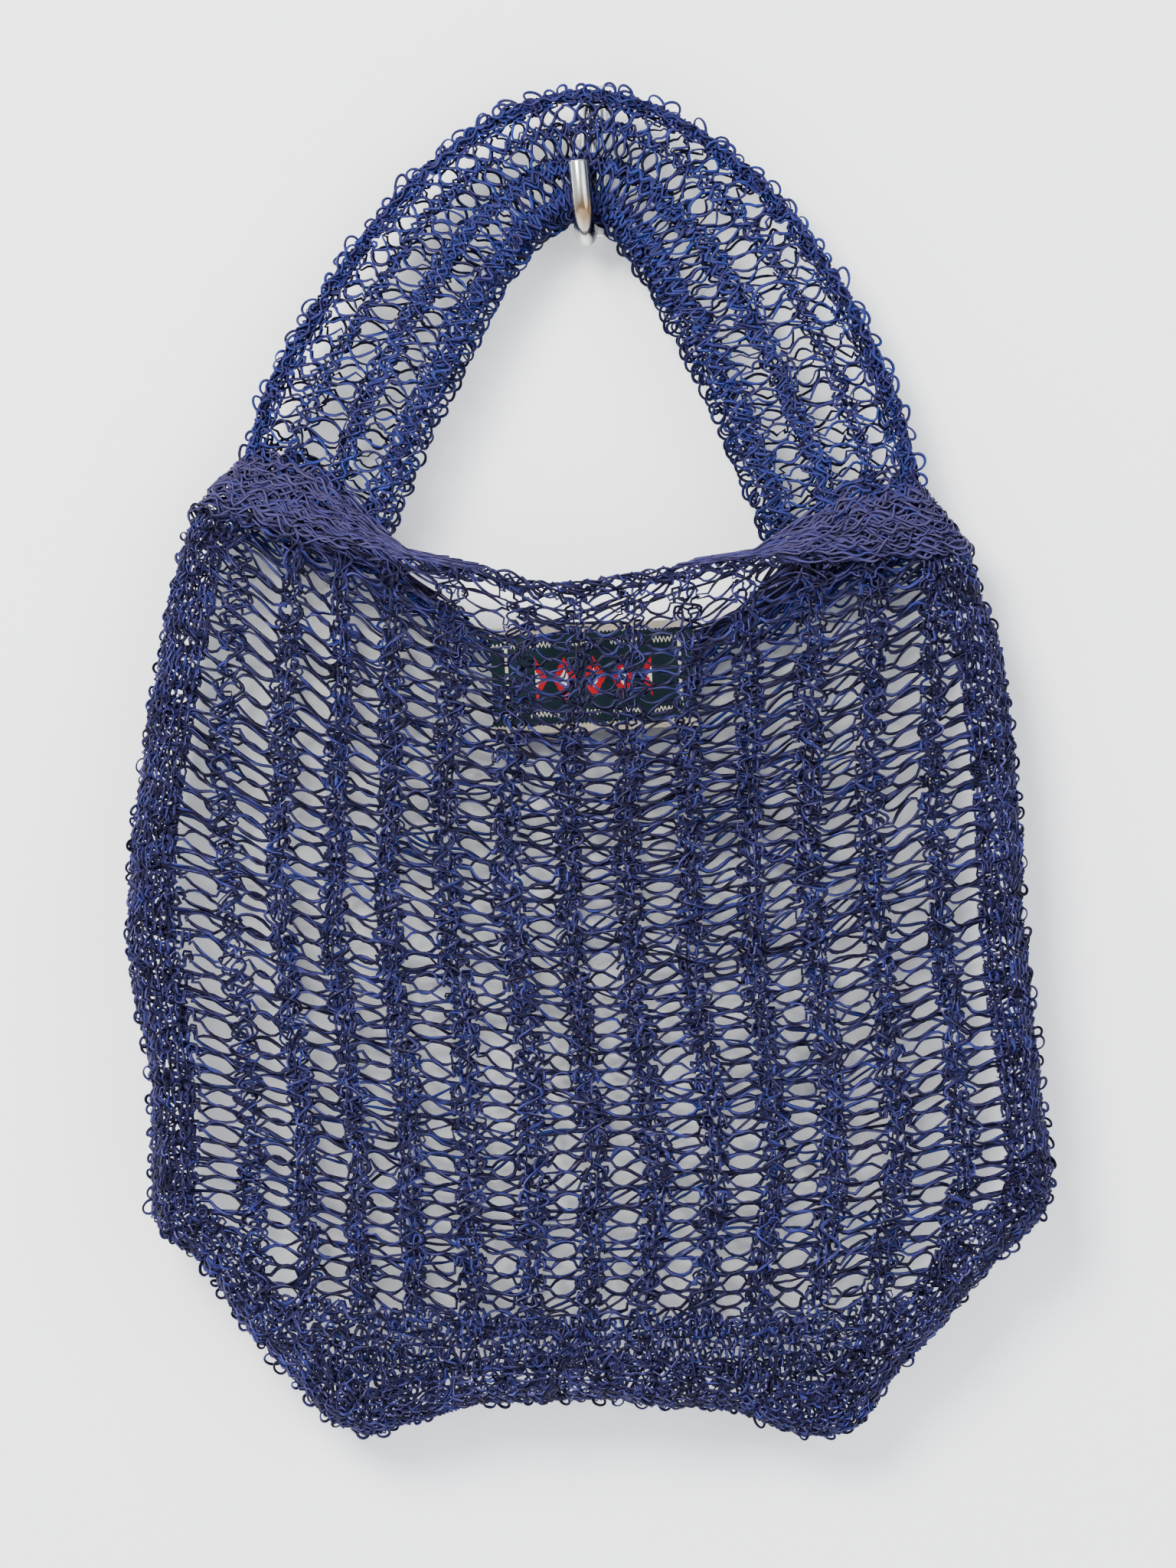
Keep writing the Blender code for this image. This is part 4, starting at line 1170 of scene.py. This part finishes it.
def paint(name, values):
    """A material with a Principled shader; values are numbers, or functions of the tree's Shade."""
    made = bpy.data.materials.new(name)
    made.use_nodes = True
    shader = made.node_tree.nodes["Principled BSDF"]
    canvas = Shade(made.node_tree)
    for key, value in values.items():
        worked = value(canvas) if callable(value) else value
        if isinstance(worked, Shade):
            made.node_tree.links.new(worked.port, shader.inputs[key])
        else:
            shader.inputs[key].default_value = worked
    return made


def rgb(red, green, blue):
    """An 8-bit screen colour as linear light: ((c + 0.055) / 1.055)^2.4 above 0.04, and c / 12.92 below."""
    c = np.array((red, green, blue)) / 255
    linear = np.where(c > 0.04, ((c + 0.055) / 1.055) ** 2.4, c / 12.92)
    return (*linear.tolist(), 1.0)


print("navy in linear light", np.round(rgb(52, 58, 112), 3))

# %% [markdown]
# The yarn is flat rayon tape. Facing strands look dull and slightly purple, and where it twists it flashes a
# clear blue,
# which is a painted sheen here: the strand's own tone and a slow noise pick between the two. One side of each
# strand is painted darker as shade, fine fibres run along it as stretched noise, and the same noise roughens
# its surface.

# %% Yarn, label and steel
TAPE_SHEEN = 0.08
LOZENGES = 7.0  # places along the label, of which the middle ones are sewn
SEWN_HALF = 0.2857
LEG_BACK, LEG_LEAN = -0.0122, 0.1  # where the rod's front leg begins, in y, and how far it leans
# Height on the rod of the painted warm reflection, in metres.
WARM_REFLECTION_Z = -0.015


def yarn_tone(canvas):
    """Tone of the strand plus stretched fibre noise, from 0 to 1."""
    tone = canvas.node("ShaderNodeAttribute", {"attribute_name": "tone"}, 2)
    u, v, _ = canvas.uv("along").split()
    place = canvas.node("ShaderNodeCombineXYZ", None, 0, {0: u * 2.5, 1: v * 14.0, 2: tone * 37.0})
    patch = canvas.node("ShaderNodeCombineXYZ", None, 0, {0: u * 1.6, 1: tone * 11.0})
    return tone, canvas.noise(place, 1.0), canvas.noise(patch, 1.0, 1.0)


def yarn(name, dull, bright, deep, roughness):
    """Blends deep, dull and bright by tone, noise and the side of each strand: deep is a painted shade,
    bright a painted blue sheen.
    """

    def colour(canvas):
        tone, fibre, patch = yarn_tone(canvas)
        # Partly the strand's own random tone, partly a painted sheen: noise and tone mix in the bright blue
        # that stands in for the tape's glossy flashes.
        sheen_share = ((patch - 0.5) * 2.4 + (tone - 0.5) * 0.4 + 0.42).held()
        body = sheen_share.blend(dull, bright)
        # Painted shade: one side of each strand, found by its place round it, is blended towards the deep
        # colour.
        _, round_it, _ = canvas.uv("along").split()
        lit = (round_it * 2 * pi).sine() * 0.45 + (fibre - 0.46) * 3.0 + (tone - 0.5) * 0.3
        return (lit + (patch - 0.5) * 1.2 + 0.3).held().blend(deep, body)

    def relief(canvas):
        _, fibre, _ = yarn_tone(canvas)
        return canvas.bump(fibre, 0.5, 0.0002)

    return paint(name, {
        "Base Color": colour,
        "Roughness": roughness,
        "Specular IOR Level": TAPE_SHEEN,
        "Normal": relief,
    })


def label_colour(canvas):
    """Green ground, pale selvedges, thin sewn lines and a plain row of red and white lozenges."""
    where = canvas.uv("face")
    u, v, _ = where.split()
    wobble = (canvas.noise(where, 38.0) - 0.5) * 0.03
    teeth = ((u * 330.0).sine() * 0.012) + wobble
    edge = ((v - 0.5).size() + teeth * 0.6) > 0.425
    zigzag = ((v - 0.5).size() - 0.325 + teeth * 1.3).size() < 0.012
    zigzag = zigzag * ((u * 31.0).sine() > -0.55)
    upright = ((u - 0.5).size() - 0.425 + wobble * 0.3).size() < 0.0075
    upright = upright * ((v - 0.5).size() < 0.37) * ((v * 75.0).sine() > -0.6)
    step = ((u * LOZENGES).fraction() - 0.5).size() * 2.0
    lozenge = step + ((v - 0.5) * 4.2).size() + wobble * 9.0
    centred = (u - 0.5).size() < SEWN_HALF
    red = (lozenge < 0.85) * centred
    white = (lozenge < 0.36) * centred
    weave = (v * 420.0).sine() * 0.5 + 0.5
    ground = weave.blend(rgb(10, 22, 32), rgb(18, 43, 50))
    selvedge = canvas.noise(where, 60.0).blend(rgb(150, 138, 118), rgb(206, 198, 182))
    ground = edge.blend(ground, selvedge)
    ground = ((zigzag + upright) > 0.5).blend(ground, rgb(205, 200, 186))
    return white.blend(red.blend(ground, rgb(178, 22, 34)), rgb(226, 216, 212))


def label_relief(canvas):
    u, v, _ = canvas.uv("face").split()
    return canvas.bump((v * 420.0).sine() + (u * 700.0).sine() * 0.5, 0.3, 0.0001)


def steel_colour(canvas):
    """Steel with a painted dark reflection towards the right side of the rod in front, and a painted warm
    reflection down to its bend.
    """
    x, y, z = canvas.object_place().split()
    in_front = ((LEG_BACK - y) * 700.0).held()
    off_axis = (x - SWAY * MM + (z - TIP_TOP * MM) * LEG_LEAN) / (ROD_RADIUS * MM)
    # Painted dark reflection: the front leg is darkened towards its right side.
    painted_dark_reflection = ((off_axis - 0.12) * 2.0 + (off_axis < -0.85) * 0.8).held() * in_front
    # Painted warm reflection: a brownish patch on the front leg, strongest at this height and near its axis.
    painted_warm_reflection = (1.5 - (z - WARM_REFLECTION_Z).size() * 210.0 - off_axis.size() * 0.8).held() * in_front
    metal = painted_dark_reflection.blend((0.58, 0.58, 0.55, 1.0), (0.07, 0.08, 0.10, 1.0))
    return painted_warm_reflection.blend(metal, (0.24, 0.16, 0.09, 1.0))


def steel_relief(canvas):
    where = canvas.object_place()
    return canvas.bump(canvas.noise(where, 900.0, 3.0), 0.12, 0.0001)


front_yarn = yarn("yarn_front", rgb(92, 84, 128), rgb(56, 62, 138), rgb(4, 3, 20), 0.42)
# The back panel has the same yarn in darker colours, a painted shade for the layer behind the front one.
shaded_back_yarn = yarn("yarn_back_shaded", rgb(48, 43, 84), rgb(38, 50, 122), rgb(5, 4, 24), 0.4)
strap_yarn = yarn("yarn_strap", rgb(50, 45, 88), rgb(34, 46, 112), rgb(6, 6, 28), 0.4)
seam_yarn = yarn("yarn_seam", rgb(72, 65, 100), rgb(46, 46, 96), rgb(3, 3, 16), 0.5)
woven = paint("woven_label", {
    "Base Color": label_colour,
    "Roughness": 0.8,
    "Specular IOR Level": 0.2,
    "Normal": label_relief,
})
steel = paint("polished_steel", {
    "Base Color": steel_colour,
    "Metallic": 1.0,
    "Roughness": 0.16,
    "Normal": steel_relief,
})
plate_steel = paint("plate_steel", {
    "Base Color": (0.80, 0.80, 0.78, 1.0),
    "Metallic": 1.0,
    "Roughness": 0.34,
})

# %% [markdown]
# Each piece now gets its material and is parented to the root body, and the imported nodes that it stands for
# are hidden.

# %% Dress the pieces
def dress(piece, made_of, slot, *nodes):
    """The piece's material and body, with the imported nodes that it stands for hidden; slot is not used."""
    piece.data.materials.clear()
    piece.data.materials.append(made_of)
    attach(piece, "root")
    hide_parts(*nodes)


for side, piece in nets:
    dress(piece, front_yarn if side == FRONT else shaded_back_yarn, "yarn", "bag_body")
for piece in edges:
    dress(piece, front_yarn, "yarn", "bag_body")
dress(strap_net, strap_yarn, "yarn", "strap")
for piece, node in zip(gathers, ("shoulder_left", "shoulder_right")):
    dress(piece, seam_yarn, "seam_yarn", node)
dress(label, woven, "woven_label", "label")
dress(rod, steel, "steel", "hook")
dress(plate, plate_steel, "steel", "hook")

# %% [markdown]
# ## Wall, light and camera
#
# The wall is rough white plaster. One large soft lamp stands to the upper left, near the camera's side, so
# the bag throws a soft shadow down to the right, and the pale room fills in the rest. The camera looks
# straight at the wall from a metre and a half, with a long lens.

# %% Stage
def plane(name, corners):
    """One face on the stage, with its corners in metres."""
    mesh = bpy.data.meshes.new(name)
    mesh.from_pydata(corners, [], [(0, 1, 2, 3)])
    made = add_object(name, mesh)
    return made


WALL_Y = 0.0003
FLOOR_Z = -0.6
ROOM = 3.0
foot = [(-ROOM, WALL_Y, FLOOR_Z), (ROOM, WALL_Y, FLOOR_Z)]
wall = plane("wall", [*foot, (ROOM, WALL_Y, ROOM), (-ROOM, WALL_Y, ROOM)])
floor = plane("floor", [foot[0], (-ROOM, -4.0, FLOOR_Z), (ROOM, -4.0, FLOOR_Z), foot[1]])


def plaster_relief(canvas):
    where = canvas.object_place()
    coarse, fine = canvas.noise(where, 90.0, 2.0), canvas.noise(where, 420.0, 2.0)
    return canvas.bump(coarse * 0.7 + fine * 0.3, 0.28, 0.0012)


def plaster_colour(canvas):
    where = canvas.object_place()
    return canvas.noise(where, 6.0).blend(rgb(241, 243, 246), rgb(246, 247, 249))


plaster = paint("plaster", {"Base Color": plaster_colour, "Roughness": 0.9, "Normal": plaster_relief})
tree = plaster.node_tree
seen = Shade(tree).node("ShaderNodeNewGeometry", None, "Backfacing")
clear = Shade(tree).node("ShaderNodeBsdfTransparent")
solid = Shade(tree, tree.nodes["Principled BSDF"].outputs[0])
mixed = Shade(tree).node("ShaderNodeMixShader", None, 0, {0: seen, 1: solid, 2: clear})
tree.links.new(mixed.port, tree.nodes["Material Output"].inputs[0])
wall.data.materials.append(plaster)
floor.data.materials.append(paint("floor_paint", {"Base Color": rgb(226, 227, 229), "Roughness": 0.8}))

# %% Light and camera
def lamp(name, place, target, size, watts, colour):
    """A round area lamp that faces a target."""
    made = bpy.data.lights.new(name, "AREA")
    made.shape = "DISK"
    made.size = size
    made.energy = watts
    made.color = colour
    holder = add_object(name, made)
    holder.location = place
    holder.rotation_euler = (Vector(target) - Vector(place)).to_track_quat("-Z", "Y").to_euler()


BAG_MIDDLE = (0, 0, -0.16)
lamp("key", (-0.75, -1.5, 0.75), BAG_MIDDLE, 0.9, 82.0, (1.0, 0.98, 0.935))
lamp("fill", (1.5, -1.7, 0.3), BAG_MIDDLE, 1.6, 28.0, (0.93, 0.96, 1.0))

room = bpy.data.worlds.new("room")
room.use_nodes = True
sky = room.node_tree.nodes["Background"]
sky.inputs[0].default_value = (0.89, 0.935, 1.02, 1.0)
sky.inputs[1].default_value = 1.12
bpy.context.scene.world = room

view = bpy.data.cameras.new("camera")
view.sensor_fit = "AUTO"
view.sensor_width = 36.0
view.lens = 130.7
camera = add_object("camera", view)
camera.location = [value * MM for value in EYE]
camera.rotation_euler = (pi / 2, 0.0, 0.0)
bpy.context.scene.camera = camera
